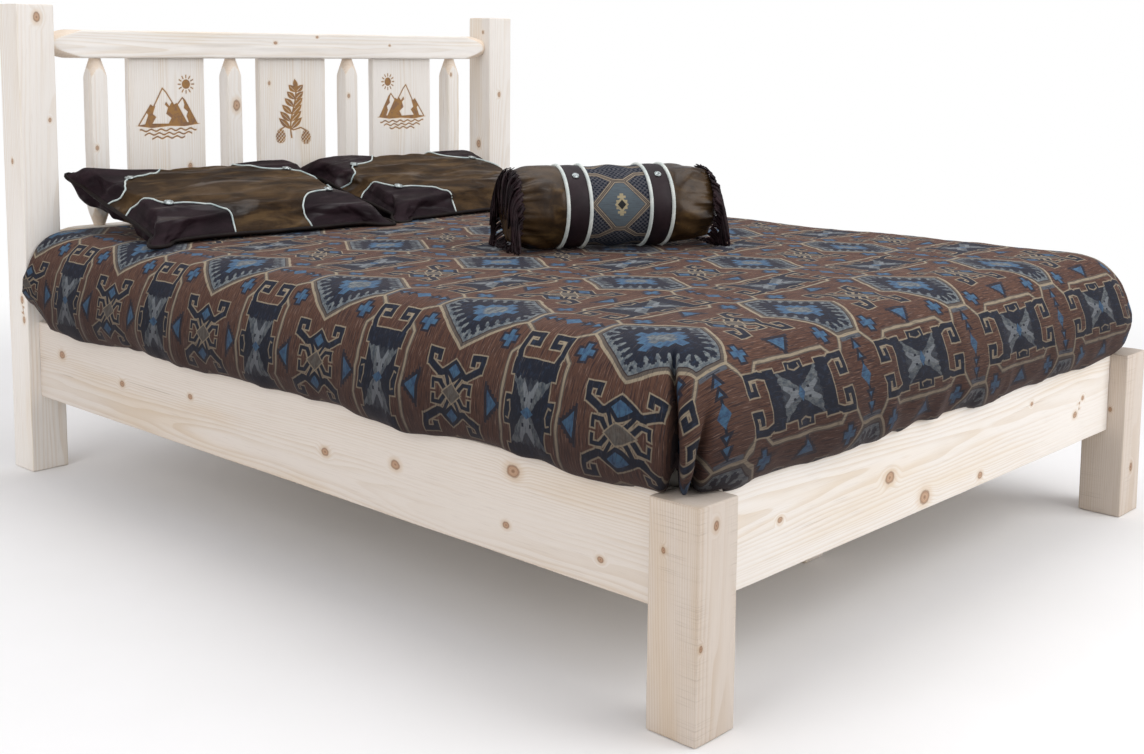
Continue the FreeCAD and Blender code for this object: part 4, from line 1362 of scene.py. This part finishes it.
def ticking(name):
    """Cream cotton with a fine twill, pale stripes and stitched seams."""
    f = Finish(name)
    x, y, z = f.parts(f.place())
    seam = f.read("seam")
    twill = abs((((x + y + z) * 700).part()) - 0.5)
    cloud = f.noise_over(x, y, z)(6, 6, 6, 3.0)
    band = abs((z / 0.05).part() - 0.5).rise(0.40, 0.43)
    tone = f.mix(cloud.rise(0.3, 0.7), dye(222, 216, 204), dye(208, 200, 186))
    tone = f.mix(band * 0.25, tone, dye(168, 160, 148))
    tone = f.mix(twill.rise(0.2, 0.4) * 0.16, tone, dye(180, 172, 158))
    tone = f.mix(seam * 0.5, tone, dye(150, 142, 130))
    return f.close(Base_Color=tone, Roughness=0.85 - 0.1 * twill, Specular_IOR_Level=0.25,
                   Normal=f.bump(twill * 0.6 - seam * 2, 0.0005, 0.5))


def swollen(points, faces, cap, frames, pressure, spare):
    """Where a cloth of these points stands when air presses it from inside, without gravity.

    spare is the share by which the cloth is larger than its first shape, and no point goes further
    than the cap.
    """
    mesh = bpy.data.meshes.new("trial")
    mesh.from_pydata(points.tolist(), [], np.concatenate(faces).tolist())
    trial = linked("trial", mesh)
    scene = bpy.context.scene
    cloth = trial.modifiers.new("cloth", "CLOTH")
    settings = {"quality": 6, "mass": 0.35, "tension_stiffness": 18, "compression_stiffness": 12,
                "shear_stiffness": 4, "bending_stiffness": 0.35, "use_pressure": True,
                "uniform_pressure_force": pressure, "shrink_min": -spare}
    for setting, value in settings.items():
        setattr(cloth.settings, setting, value)
    cloth.settings.effector_weights.gravity = 0
    cloth.collision_settings.use_collision = False
    cloth.point_cache.frame_end = frames
    for step in range(1, frames + 1):
        scene.frame_set(step)
    shaped = trial.evaluated_get(bpy.context.evaluated_depsgraph_get()).to_mesh()
    ended = np.empty(len(points) * 3, np.float32)
    shaped.vertices.foreach_get("co", ended)
    ended = ended.reshape(-1, 3).astype(float)
    bpy.data.objects.remove(trial)
    scene.frame_set(1)
    moved = ended - points
    return points + unit(moved) * np.minimum(np.linalg.norm(moved, axis=1, keepdims=True), cap)


def press(points, normals, floor, soft=0.004):
    """Points below a floor come up to it, and bulge a little sideways where they do."""
    below = np.clip(floor + soft - points[:, 2], 0, None)
    pressed = points.copy()
    pressed[:, :2] += normals[:, :2] * (0.15 * below)[:, None]
    low = points[:, 2] < floor + soft
    pressed[low, 2] = floor + soft * np.exp(-below[low] / soft)
    return pressed


# The seam of a pillow's corner yoke, from the corner along the pillow's length and depth
yoke = ((0.0, 0.205), (0.034, 0.222), (0.072, 0.216), (0.100, 0.184), (0.128, 0.160), (0.168, 0.154),
        (0.208, 0.134), (0.234, 0.094), (0.243, 0.046), (0.238, 0.0))


class PillowForm:
    """A knife-edged pillow of two sheets that share their rim.

    Its half thickness falls from the middle as the root of (1 - x^2.6)(1 - y^2.6), its sides draw
    in between the corners, and the cloth then swells under pressure.
    """

    width, depth, thickness = 0.690, 0.500, 0.104
    count_u, count_v = 92, 68

    def __init__(self, seed, ear):
        crowd = 1.25
        s, t = (np.sin(np.linspace(-crowd, crowd, count)) / math.sin(crowd)
                for count in (self.count_u, self.count_v))
        s, t = np.meshgrid(s, t, indexing="ij")
        self.s, self.t = s, t
        rise = 0.042 * ((1 - np.abs(s) ** 2.6) * (1 - np.abs(t) ** 2.6)).clip(0) ** 0.5
        x = s * (self.width / 2 - 0.008 * (1 - t * t))
        y = t * (self.depth / 2 - 0.010 * (1 - s * s))
        corner = np.abs(s * t) ** 12 * np.where(t > 0, 1.0, 0.4)
        x, y = x * (1 - 0.075 * corner), y * (1 - 0.105 * corner)
        top = np.stack([x, y, rise], -1).reshape(-1, 3)
        base = np.stack([x, y, -rise], -1)[1:-1, 1:-1].reshape(-1, 3)
        self.upper = np.arange(s.size).reshape(s.shape)
        self.lower = self.upper.copy()
        self.lower[1:-1, 1:-1] = s.size + np.arange(len(base)).reshape(self.count_u - 2, self.count_v - 2)
        leather = bpy.context.scene.bed_leather
        first = np.concatenate([top, base])
        self.faces = turned_outward(first, [grid_faces(self.upper)[:, ::-1], grid_faces(self.lower)])
        points = swollen(first, self.faces, leather.swell_cap, leather.frames, 5.0, 0.045)
        points[:, 2] *= self.thickness / 2 / np.abs(points[:, 2]).max()
        for axis, size in ((0, self.width), (1, self.depth)):
            points[:, axis] *= size / (points[:, axis].max() - points[:, axis].min())
        self.flat = np.zeros((len(points), 3))
        self.flat[self.upper, 0] = s * self.width / 2
        self.flat[self.upper, 1] = t * self.depth / 2
        self.flat[self.lower] = self.flat[self.upper]
        self.flat[self.lower[1:-1, 1:-1], 2] = 1.0
        self.points = self.creased(points, seed, ear)

    def creased(self, points, seed, ear):
        """Long soft folds across the middle, puckers along the rim and drawn corners."""
        normals = point_normals(points, self.faces)
        x, y = self.flat[:, 0], self.flat[:, 1]
        rim = np.minimum(self.width / 2 - np.abs(x), self.depth / 2 - np.abs(y))
        long = drift(x * 3.4 + 0.8 * y, y * 17, seed) * 0.7 + drift(x * 7, y * 40, seed + 1) * 0.3
        ridge = 1 - np.abs(drift(x * 5 - 6 * y, y * 17 + 2 * x, seed + 2))
        pucker = drift((x + y) * 34, (x - y) * 34, seed + 3)
        height = 0.0055 * long + 0.0065 * (ridge ** 4 - 0.2)
        height *= eased(rim, 0.0, 0.06)
        height += 0.0032 * pucker * np.exp(-(rim / 0.035) ** 2) * eased(rim, 0, 0.01)
        points = points + normals * height[:, None]
        points[:, 2] += 0.004 * drift(x * 9, y * 9, seed + 4) * (1 - eased(rim, 0, 0.05))
        corner = np.hypot(self.width / 2 - np.abs(x), self.depth / 2 - np.abs(y))
        points[:, 2] *= 1 - 0.55 * (1 - eased(corner, 0.015, 0.085))
        for side_x, side_y, lift in ear:
            off_x, off_y = x - side_x * self.width / 2, y - side_y * self.depth / 2
            points[:, 2] += lift * np.exp(-((off_x / 0.09) ** 2 + (off_y / 0.08) ** 2))
        return points

    def placed(self, box, tilt, turn, floor):
        """Tilted up towards the head, turned and set down in the box, its underside pressed flat."""
        c, s = math.cos(tilt), math.sin(tilt)
        x, y, z = self.points.T
        y, z = c * y - s * z, s * y + c * z
        c, s = math.cos(turn), math.sin(turn)
        points = np.stack([c * x - s * y, s * x + c * y, z], 1)
        low, high = box
        points[:, 0] += (low[0] + high[0]) / 2 - (points[:, 0].min() + points[:, 0].max()) / 2
        points[:, 1] += high[1] - points[:, 1].max()
        points[:, 2] += floor + 0.008 - points[self.upper[len(self.s) // 2, 0], 2]
        self.points = press(points, point_normals(points, self.faces), floor)
        self.normals = point_normals(self.points, self.faces)
        return self

    def at(self, path, lift=0.0):
        """Points on the upper side over places given in the flat pillow's own length and depth."""
        u = np.interp(path[:, 0], self.s[:, 0] * self.width / 2, np.arange(self.count_u))
        v = np.interp(path[:, 1], self.t[0] * self.depth / 2, np.arange(self.count_v))
        iu = np.clip(u.astype(int), 0, self.count_u - 2)
        iv = np.clip(v.astype(int), 0, self.count_v - 2)
        fu, fv = (u - iu)[:, None], (v - iv)[:, None]

        def read(values):
            near, far = (values[self.upper[iu, iv + k]] * (1 - fu) + values[self.upper[iu + 1, iv + k]] * fu
                         for k in (0, 1))
            return near * (1 - fv) + far * fv

        return read(self.points) + lift * read(self.normals), read(self.normals)

    def rim(self):
        """Numbers of the points of the rim, in order."""
        u = self.upper
        return np.concatenate([u[:-1, 0], u[-1, :-1], u[:0:-1, -1], u[0, :0:-1]])


def smooth_path(path, step):
    """A line through a path's points, with corners rounded by cubic pieces."""
    path = np.array(path)
    walk = walked(path)
    wanted = np.linspace(0, walk[-1], int(walk[-1] / step) + 2)
    return np.stack([curve_through(walk, path[:, k], wanted) for k in (0, 1)], 1)


def pressed_button(place, normal, radius):
    """A domed metal button with a rolled edge and a ring of beads: rings about its normal."""
    normal = unit(normal)
    side = unit(np.cross(normal, [0.0, 1.0, 0.3]))
    other = np.cross(normal, side)
    turn = round_turn(40)
    reach = np.array([0.12, 0.30, 0.50, 0.62, 0.72, 0.84, 0.95, 1.0, 0.96])[:, None]
    rise = np.array([0.50, 0.46, 0.38, 0.26, 0.25, 0.30, 0.24, 0.12, 0.0])[:, None]
    beads = np.where((reach > 0.66) & (reach < 0.9), 0.07, 0.0) * np.sin(turn * 14)
    spoke = np.cos(turn)[:, None] * side + np.sin(turn)[:, None] * other
    rings = place + radius * (reach[..., None] * spoke + (rise + beads)[..., None] * normal)
    return capped(rings, place + 0.52 * radius * normal, place - 0.1 * radius * normal)


def finer(piece):
    """Each face of the piece in four, on a smooth surface."""
    halved = piece.modifiers.new("finer", "SUBSURF")
    halved.levels = halved.render_levels = 1


def hide(name):
    """Soft leather: cloudy brown rubbed dark in streaks, with pores, creases and aubergine corner yokes."""
    c = bpy.context.scene.bed_leather
    f = Finish(name)
    noise = f.noise_over(*f.parts(f.place()))
    cloud = noise(7, 11, 11, 4.0, 0.6, 0.6)
    streak = noise(6, 24, 20, 4.0, 0.60, 0.7)
    pore = noise(420, 420, 420)
    crease = abs(noise(40, 120, 120) - 0.5)
    tone = f.mix(cloud.rise(0.34, 0.66), c.hide_dark, c.hide)
    tone = f.mix(streak.rise(0.50, 0.68) * 0.55, tone, dye(102, 80, 52))
    tone = f.mix(streak.fall(0.34, 0.48) * 0.65, tone, dye(25, 17, 11))
    shine = noise(5, 15, 15, 3.0, 0.6, 0.8).rise(0.55, 0.70)
    # Painted shade: darker along the crease lines that the bump sinks
    tone = f.mix(crease.fall(0.0, 0.012) * 0.35, tone, dye(40, 30, 24))
    rough = 0.50 - 0.22 * cloud.rise(0.5, 0.8) + 0.12 * pore
    yoked = f.read("yoke").fall(-0.0008, 0.0008)
    plum = f.mix(streak.rise(0.35, 0.7), c.patch, dye(42, 29, 34))
    plum = f.mix(cloud.fall(0.3, 0.5) * 0.5, plum, dye(16, 11, 14))
    tone = f.mix(yoked, tone, plum)
    height = pore * 0.4 + streak * 0.6 - crease.fall(0, 0.02) * 0.5
    return f.close(Base_Color=tone, Roughness=rough + yoked * 0.02, Specular_IOR_Level=0.08,
                   Coat_Weight=shine * 0.50, Coat_Roughness=0.30, Normal=f.bump(height, 0.0012, 0.6))


def plain_leather(name, first, second, rough, bump=0.0006):
    """One colour of leather with clouding and pores."""
    f = Finish(name)
    noise = f.noise_over(*f.parts(f.place()))
    cloud = noise(30, 30, 30, 3.0, 0.6)
    pore = noise(500, 500, 500)
    tone = f.mix(cloud.rise(0.35, 0.68), first, second)
    return f.close(Base_Color=tone, Roughness=rough + 0.12 * pore - 0.06 * cloud, Specular_IOR_Level=0.14,
                   Normal=f.bump(pore + cloud, bump, 0.5))


def silver(name):
    """Pressed silver, dark in its hollows."""
    f = Finish(name)
    spots = f.noise_over(*f.parts(f.place()))(300, 300, 300)
    tone = f.mix(spots.rise(0.40, 0.62), bpy.context.scene.bed_leather.silver, dye(120, 130, 128))
    return f.close(Base_Color=tone, Metallic=0.9, Roughness=0.28 + 0.2 * spots,
                   Normal=f.bump(spots, 0.0003, 0.5))


class BED_OT_leather_finishes(BedPiece, bpy.types.Operator):
    """The leather, piping and silver that the cushions share"""

    bl_idname = "bed.leather_finishes"
    bl_label = "Leather finishes"

    def execute(self, context):
        c = context.scene.bed_leather
        hide("yoked_leather")
        plain_leather("piping_leather", c.piping, dye(168, 184, 184), 0.42, 0.0003)
        plain_leather("pale_piping", dye(222, 226, 220), dye(196, 204, 200), 0.42, 0.0003)
        plain_leather("fringe_leather_strips", c.fringe, dye(46, 30, 33), 0.42)
        plain_leather("rolled_edge", dye(18, 12, 11), dye(30, 21, 19), 0.55)
        silver("pressed_silver")
        return {"FINISHED"}


class BED_OT_pillows(BedPiece, bpy.types.Operator):
    """The two leather pillows, each with a rolled edge, piped corner yokes and silver buttons"""

    bl_idname = "bed.pillows"
    bl_label = "Pillows"

    def execute(self, context):
        materials = bpy.data.materials
        half = np.array([PillowForm.width, PillowForm.depth]) / 2
        line = smooth_path(yoke, 0.012)
        floor = node_box("comforter")[1][2] + 0.0008
        beyond = -0.05
        around_yoke = [(beyond, line[0][1]), *line, (line[-1][0], beyond), (beyond, beyond)]
        ways = (("left", math.radians(-3), 51, ((-1, 1, 0.024), (1, 1, 0.004), (-1, -1, -0.006))),
                ("right", 0.0, 61, ((-1, 1, -0.006), (1, 1, 0.010))))
        for name, turn, seed, ear in ways:
            node = "pillow_" + name
            form = PillowForm(seed, ear).placed(node_box(node), math.radians(13.5), turn, floor)
            field = to_outline(*(half - np.abs(form.flat[:, :2])).T, around_yoke)
            piece = mesh_piece(node + "_leather", form.points, form.faces, {"yoke": field},
                               materials["yoked_leather"], node, stands_for=(node,), slot="pillow_leather")
            finer(piece)
            rim = tube(evenly(form.points[form.rim()], 0.008), 0.0048, closed=True)
            pipes, buttons = [], []
            for hand in ((-1, -1), (-1, 1), (1, -1), (1, 1)):
                pipes.append(tube(form.at(hand * (half - line), 0.0014)[0], 0.0022))
                middle, normal = form.at(np.array([hand * (half - (0.128, 0.160))]), 0.0022)
                buttons.append(pressed_button(middle[0], normal[0], 0.0125))
            mesh_piece(node + "_rolled_edge", *rim, {}, materials["rolled_edge"], node, slot="pillow_leather")
            mesh_piece(node + "_piping", *joined_shapes(pipes), {}, materials["piping_leather"], node,
                       slot="pillow_leather")
            mesh_piece(node + "_buttons", *joined_shapes(buttons), {}, materials["pressed_silver"], node,
                       slot="steel")
        return {"FINISHED"}


class BolsterForm:
    """The bolster's own axes, along it, away from the viewer and up, and its skin.

    Its piping rings lie inner_ring and outer_ring from its middle, and its rounded ends begin where
    the straight part ends. An angle on it is counted upward from the viewer's side.
    """

    inner_ring, outer_ring = 0.0735, 0.1285
    straight, tip = 0.226, 0.2475
    plain_radius = 0.097
    sides = 144

    def __init__(self):
        low, high = node_box("bolster")
        self.place = (low + high) / 2
        self.radius = (high[2] - low[2]) / 2
        c, s = math.cos(math.radians(-28)), math.sin(math.radians(-28))
        self.axes = np.array([(c, s, 0.0), (-s, c, 0.0), (0.0, 0.0, 1.0)])

    def turned(self, local):
        """A direction of the bolster's own as one of the bed's."""
        return local @ self.axes

    def out(self, local):
        """A place of the bolster's own as one of the bed's."""
        return self.place + self.turned(local)

    def outward(self, angle):
        """The direction away from the axis."""
        return np.stack([0 * angle, -np.cos(angle), np.sin(angle)], -1)

    def skin(self, along, angle):
        """A round that pinches under each piping ring, swells between and gathers to its ends."""
        along = along + 0 * angle
        far, c, s = np.abs(along), np.cos(angle), np.sin(angle)
        swell = np.sin((far - self.inner_ring) * math.pi / (self.outer_ring - self.inner_ring))
        gather = eased(far, 0.150, 0.238)
        folds = drift(9 * c + along * 4, 9 * s, 91) * 0.6 + drift(18 * c, 18 * s + along * 7, 92) * 0.4
        slack = drift(3 * c + along * 22, 3 * s + along * 9, 93) * eased(far, 0.130, 0.150)
        reach = (self.radius - 0.0025 + 0.0022 * swell * (far < self.outer_ring)
                 + 0.0060 * folds * gather + 0.0058 * slack - 0.012 * gather ** 3)
        return np.stack([along, -reach * c, reach * s], -1)

    def body(self):
        """The closed skin, and for each of its points the place on a plain round."""
        angle = round_turn(self.sides) - math.pi / 2
        x, turn = np.meshgrid(np.linspace(-self.straight, self.straight, 92), angle, indexing="ij")
        ends = []
        for side in (-1, 1):
            rim = self.skin(side * self.straight, angle)
            rows = []
            for bend in np.linspace(0, math.pi / 2, 7)[1:]:
                share = 1 - 0.20 * (1 - math.cos(bend))
                rows.append(rim * [1, share, share] + [side * 0.019 * math.sin(bend), 0, 0])
            for share in (0.64, 0.48, 0.34, 0.20, 0.08):
                row = rim * [1, share, share]
                row[:, 0] += side * (0.019 + 0.006 * (0.8 - share)) + 0.0016 * share * np.sin(angle * 18)
                rows.append(row)
            ends.append(np.stack(rows))
        grid = np.concatenate([ends[0][::-1], self.skin(x, turn), ends[1]])
        caps = np.array([[-self.tip, 0, 0], [self.tip, 0, 0]])
        points, faces = capped(grid, *caps)
        plain = self.plain_radius * self.outward(angle) + 0 * grid
        plain[..., 0] = grid[..., 0]
        return points, faces, np.concatenate([plain.reshape(-1, 3), caps])


def bolster_finish(name):
    """Brown leather ends, aubergine bands and a woven middle, told apart by the distance from the middle.

    wrap holds the place on the plain round: along, towards the back and up, from which the angle
    round the bolster follows.
    """
    c, q = bpy.context.scene.bed_leather, bpy.context.scene.bed_quilt
    f = Finish(name)
    along, back, up = f.parts(f.read("wrap", "Vector"))
    a = abs(along)
    angle = f.sum("ARCTAN2", up, back * -1.0)
    noise = f.noise_over(along, back, up)
    cloud = noise(14, 14, 14, 4.0, 0.6, 0.5)
    streak = f.noise(along * 16, angle * 3.2, 0.0, 4.0, 0.6, 0.4)
    pore = noise(450, 450, 450)
    tone = f.mix(cloud.rise(0.35, 0.66), c.hide_dark, c.hide)
    tone = f.mix(streak.rise(0.52, 0.75) * 0.5, tone, dye(108, 84, 50))
    tone = f.mix(streak.fall(0.30, 0.44) * 0.6, tone, dye(27, 19, 12))
    band = a.fall(0.1283, 0.1287)
    plum = f.mix(cloud.rise(0.3, 0.7), c.patch, dye(42, 29, 33))
    tone = f.mix(band, tone, plum)
    third = 2 * math.pi / 3
    b = abs(((angle - 0.12) / third + 0.5).part() - 0.5) * (third * BolsterForm.plain_radius)
    soft = 0.0005
    slub = f.noise(along * 40, angle * 55, 3.0, 3.0, 0.6)
    comb = abs(((a + b) / 0.011).part() - 0.5) + abs(((a - b) / 0.011).part() - 0.5)
    cloth = f.mix(comb.rise(0.40, 0.52) * slub.rise(0.3, 0.6) * 0.85, q.navy, dye(100, 100, 104))
    edge = shader_stroke(a, b, ((0.013, 0.059), (0.046, 0.084), (0.080, 0.084)), 0.0)
    hexa = (a * 0.74 + b * 0.67 - 0.0492).over(b - 0.059)
    near_line = edge.under(abs(hexa))
    cloth = f.mix(near_line.fall(0.0060, 0.0066), cloth, dye(66, 56, 53))
    cloth = f.mix(abs(near_line - 0.0040).fall(0.0009, 0.0015), cloth, dye(150, 138, 120))
    cloth = f.mix(near_line.fall(0.0010, 0.0016), cloth, dye(116, 105, 94))
    cloth = f.mix(hexa.fall(-0.0068, -0.0062), cloth, dye(88, 98, 104))
    ornament = shader_box(a, b, 0.0045, 0.026).under(shader_box(a, abs(b - 0.018), 0.0100, 0.0028))
    ornament = ornament.under((a * 1.1 + b - 0.0185)).under(shader_box(a, abs(b - 0.008), 0.0135, 0.0026))
    cloth = f.mix(ornament.fall(-soft, soft) * 0.9, cloth, dye(176, 162, 128))
    cloth = f.mix((a * 1.1 + b - 0.0115).fall(-soft, soft), cloth, dye(40, 42, 42))
    cloth = f.mix(slub.rise(0.45, 0.7) * 0.4, cloth, dye(54, 48, 52))
    woven = a.fall(0.0733, 0.0737)
    tone = f.mix(woven, tone, cloth)
    rough = 0.28 + 0.10 * pore - 0.10 * cloud.rise(0.5, 0.8) + band * 0.20 + woven * 0.42
    height = pore * (0.4 - 0.2 * woven) + streak * (0.7 - 0.7 * woven) + slub * woven
    return f.close(Base_Color=tone, Roughness=rough, Specular_IOR_Level=0.26,
                   Normal=f.bump(height, 0.0012, 0.6))


class BED_OT_bolster(BedPiece, bpy.types.Operator):
    """The round bolster, its four piping rings, its buttons and the fringe at each end"""

    bl_idname = "bed.bolster"
    bl_label = "Bolster"

    def execute(self, context):
        materials = bpy.data.materials
        form = BolsterForm()
        floor = node_box("bolster")[0][2] + 0.0005
        points, faces, wrap = form.body()
        points = form.out(points)
        points = press(points, point_normals(points, faces), floor, 0.003)
        piece = mesh_piece("bolster_leather", points, faces, {"wrap": wrap}, bolster_finish("bolster_cover"),
                           "bolster", stands_for=("bolster",), slot="bolster_leather")
        finer(piece)
        rings = []
        turn = round_turn(96)
        for place in (-form.outer_ring, -form.inner_ring, form.inner_ring, form.outer_ring):
            ring = form.out(form.skin(place, turn) + 0.0015 * form.outward(turn))
            ring[:, 2] = np.maximum(ring[:, 2], floor + 0.0035)
            rings.append(tube(ring, 0.0042, 10, closed=True, up=form.axes[0]))
        mesh_piece("bolster_piping", *joined_shapes(rings), {}, materials["pale_piping"], "bolster",
                   slot="bolster_leather")
        buttons = []
        for place in (-0.101, 0.101):
            for angle in (math.radians(52), math.radians(172)):
                on, normal = form.out(form.skin(place, angle)), form.turned(form.outward(angle))
                buttons.append(pressed_button(on, normal, 0.0085))
        mesh_piece("bolster_buttons", *joined_shapes(buttons), {}, materials["pressed_silver"], "bolster",
                   slot="steel")
        self.fringes(form, floor)
        return {"FINISHED"}

    def fringes(self, form, floor):
        """Cut strips: each line starts at the end's seam and bends down as it goes, in equal steps.

        Neighbouring strips lean alike, so they lie side by side. A strip is its line with a thin
        four-sided section, whose width lies along the seam at the start and turns as it falls.
        """
        rng = np.random.default_rng(95)
        count, steps, half_thick = 150, 11, 0.0009
        share = np.linspace(0, 1, steps)
        shapes = []
        for side in (-1, 1):
            angle = round_turn(count) + rng.uniform(-0.03, 0.03, count)
            cosine, sine = np.cos(angle), np.sin(angle)
            length = rng.uniform(0.080, 0.118, count) * (1 - 0.30 * eased(-sine, 0.2, 1.0))
            reach = rng.uniform(0.085, 0.0955, count)
            start = np.stack([side * rng.uniform(0.228, 0.240, count), -reach * cosine, reach * sine], 1)
            tuft = drift(4 * cosine + 5, 4 * sine + 5 + side, 96) + 0.35 * rng.uniform(-1, 1, count)
            spread = 0.10 + 0.16 * tuft
            bold = rng.uniform(0.25, 1.15, count)[:, None]
            way = bold * unit(np.stack([side + 0 * angle, -spread * cosine, spread * sine], 1))
            fall = np.stack([side * (0.03 + 0.07 * tuft), 0.30 * tuft - 0.10 * cosine, -np.ones(count)], 1)
            line = [start]
            for done in share[1:]:
                ahead = unit(way * (1 - done) ** 3 + fall * (0.22 + 2.0 * done))
                line.append(line[-1] + ahead * (length / (steps - 1))[:, None])
            line = np.stack(line, 1)
            clear = 0.232 + 0.018 * eased(share, 0.0, 0.22)[None] + 0.014 * rng.random((count, 1)) * share
            line[..., 0] = side * np.maximum(side * line[..., 0], clear)
            line = form.out(line)
            line[..., 2] = np.maximum(line[..., 2], floor + 0.002 + 0.010 * rng.random((count, 1)))
            along = unit(np.gradient(line, axis=1))
            seam = form.turned(np.stack([0 * angle, sine, cosine], 1))
            twist = rng.uniform(-0.9, 0.9, count)[:, None, None]
            toward = seam[:, None] + (twist + 0.6 * share[None, :, None]) * form.axes[0]
            across = unit(toward - (toward * along).sum(2, keepdims=True) * along)
            thick = np.cross(across, along) * half_thick
            width = (rng.uniform(0.0032, 0.0048, count)[:, None, None]
                     * np.interp(share, (0, 0.7, 1), (1.0, 1.0, 0.45))[None, :, None])
            section = np.stack([line + across * width, line + thick, line - across * width, line - thick], 2)
            numbers = np.arange(steps * 4).reshape(steps, 4)
            strip = np.concatenate([grid_faces(numbers, wrap=True), numbers[:1, ::-1], numbers[-1:]])
            first = section[0].reshape(-1, 3)
            strip = turned_outward(first - first.mean(0), [strip])[0]
            faces = (strip[None] + (np.arange(count) * numbers.size)[:, None, None]).reshape(-1, 4)
            shapes.append((section.reshape(-1, 3), [faces]))
        mesh_piece("bolster_fringe_strips", *joined_shapes(shapes), {},
                   bpy.data.materials["fringe_leather_strips"], "bolster", stands_for=("bolster_fringes",),
                   slot="fringe_leather")


class BED_OT_stage(BedPiece, bpy.types.Operator):
    """The pale floor, the soft lamps and the camera"""

    bl_idname = "bed.stage"
    bl_label = "Stage"

    def execute(self, context):
        scene = context.scene
        stage = scene.bed_stage
        scene.view_settings.view_transform = "Standard"
        side = (-14.0, 14.0)
        floor = bpy.data.meshes.new("floor")
        floor.from_pydata([(x, y, -0.0005) for y in side for x in side], [], [(0, 1, 3, 2)])
        floor_piece = linked("floor", floor)
        f = Finish("pale_floor")
        x, y, z = f.parts(f.place())
        far = (x * x + y * y) ** 0.5
        grain = f.noise_over(x, y, z)(3, 3, 3, 3.0)
        matte = f.node("ShaderNodeBsdfDiffuse", None,
                       {"Color": f.mix(grain.rise(0.3, 0.7) * 0.4, dye(247, 246, 245), dye(243, 242, 240))})
        glow = f.node("ShaderNodeEmission", None, {"Color": (1, 1, 1, 1), "Strength": 1.0})
        seen = f.node("ShaderNodeLightPath")
        seen = seen.over(seen.also("Is Transmission Ray"))
        shader = f.node("ShaderNodeMixShader", None, [far.rise(1.9, 3.6) * seen, matte, glow])
        f.node("ShaderNodeOutputMaterial", None, {"Surface": shader})
        floor.materials.append(f.block)
        self.light_world(scene, stage)
        for name, place, aim, size, power in (
                ("key_lamp", (1.6, -4.2, 3.0), (0.0, -0.2, 0.4), 3.4, stage.key),
                ("fill_lamp", (-4.4, -0.6, 2.2), (0.0, 0.1, 0.5), 3.0, stage.fill),
                ("top_lamp", (0.2, 0.3, 3.8), (0.0, 0.0, 0.3), 3.0, stage.fill)):
            lamp = bpy.data.lights.new(name, "AREA")
            lamp.shape = "SQUARE"
            lamp.size = size
            lamp.energy = power
            linked(name, lamp).matrix_world = facing(place, np.subtract(aim, place))
        self.place_camera(scene, stage)
        return {"FINISHED"}

    def light_world(self, scene, stage):
        """Soft light from all round, seen by the camera as plain white."""
        f = Finish("soft_sky", "worlds")
        seen = f.node("ShaderNodeLightPath")
        seen = seen.over(seen.also("Is Transmission Ray"))
        sky = f.node("ShaderNodeBackground", None, {"Color": dye(250, 250, 255), "Strength": stage.sky})
        white = f.node("ShaderNodeBackground", None, {"Color": (1, 1, 1, 1)})
        f.node("ShaderNodeOutputWorld", None,
               {"Surface": f.node("ShaderNodeMixShader", None, [seen, sky, white])})
        scene.world = f.block

    def place_camera(self, scene, stage):
        """Looks along the yaw and pitch, rolled about that line."""
        camera = bpy.data.cameras.new("camera")
        camera.lens = stage.lens
        camera.shift_y = stage.shift
        camera.clip_start = 0.05
        piece = linked("camera", camera)
        look = np.array([math.sin(stage.yaw) * math.cos(stage.pitch),
                         math.cos(stage.yaw) * math.cos(stage.pitch), -math.sin(stage.pitch)])
        right = np.array([math.cos(stage.yaw), -math.sin(stage.yaw), 0.0])
        up = np.cross(right, look)
        c, s = math.cos(stage.roll), math.sin(stage.roll)
        piece.matrix_world = matrix_of(c * right + s * up, c * up - s * right, -look, stage.eye)
        scene.camera = piece


def matrix_of(x, y, z, place):
    """A 4 by 4 matrix whose columns are three directions and a place."""
    matrix = Matrix.Identity(4)
    for column, values in enumerate((x, y, z, place)):
        for row in range(3):
            matrix[row][column] = float(values[row])
    return matrix


def facing(place, look):
    """A matrix at a place whose -Z axis looks along a direction that isn't upright."""
    look = unit(look)
    right = unit(np.cross(look, (0.0, 0.0, 1.0)))
    return matrix_of(right, np.cross(right, look), -look, place)


class BED_PT_panel(bpy.types.Panel):
    """Lists the pieces in the order in which they are made"""

    bl_idname = "BED_PT_panel"
    bl_label = "Rustic pine bed"
    bl_space_type = "VIEW_3D"
    bl_region_type = "UI"
    bl_category = "Bed"

    def draw(self, context):
        for piece in PIECES:
            self.layout.operator(piece.bl_idname)


PIECES = (
    BED_OT_stage,
    BED_OT_timber_finishes,
    BED_OT_head_posts,
    BED_OT_foot_posts,
    BED_OT_rails,
    BED_OT_head_rails,
    BED_OT_spindles,
    BED_OT_panels,
    BED_OT_platform,
    BED_OT_quilt,
    BED_OT_mattress,
    BED_OT_leather_finishes,
    BED_OT_pillows,
    BED_OT_bolster,
)
GROUPS = {"bed_timber": BedTimber, "bed_quilt": BedQuilt, "bed_leather": BedLeather, "bed_stage": BedStage}


def register():
    """Makes the choices, the operators and the panel known."""
    for group in GROUPS.values():
        bpy.utils.register_class(group)
    for piece in (*PIECES, BED_PT_panel):
        bpy.utils.register_class(piece)
    for name, group in GROUPS.items():
        setattr(bpy.types.Scene, name, PointerProperty(type=group))


def unregister():
    """Takes them away again."""
    for name in GROUPS:
        delattr(bpy.types.Scene, name)
    for piece in (BED_PT_panel, *reversed(PIECES)):
        bpy.utils.unregister_class(piece)
    for group in GROUPS.values():
        bpy.utils.unregister_class(group)


def main():
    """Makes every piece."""
    register()
    for piece in PIECES:
        family, name = piece.bl_idname.split(".")
        getattr(getattr(bpy.ops, family), name)()


if __name__ == "__main__":
    main()
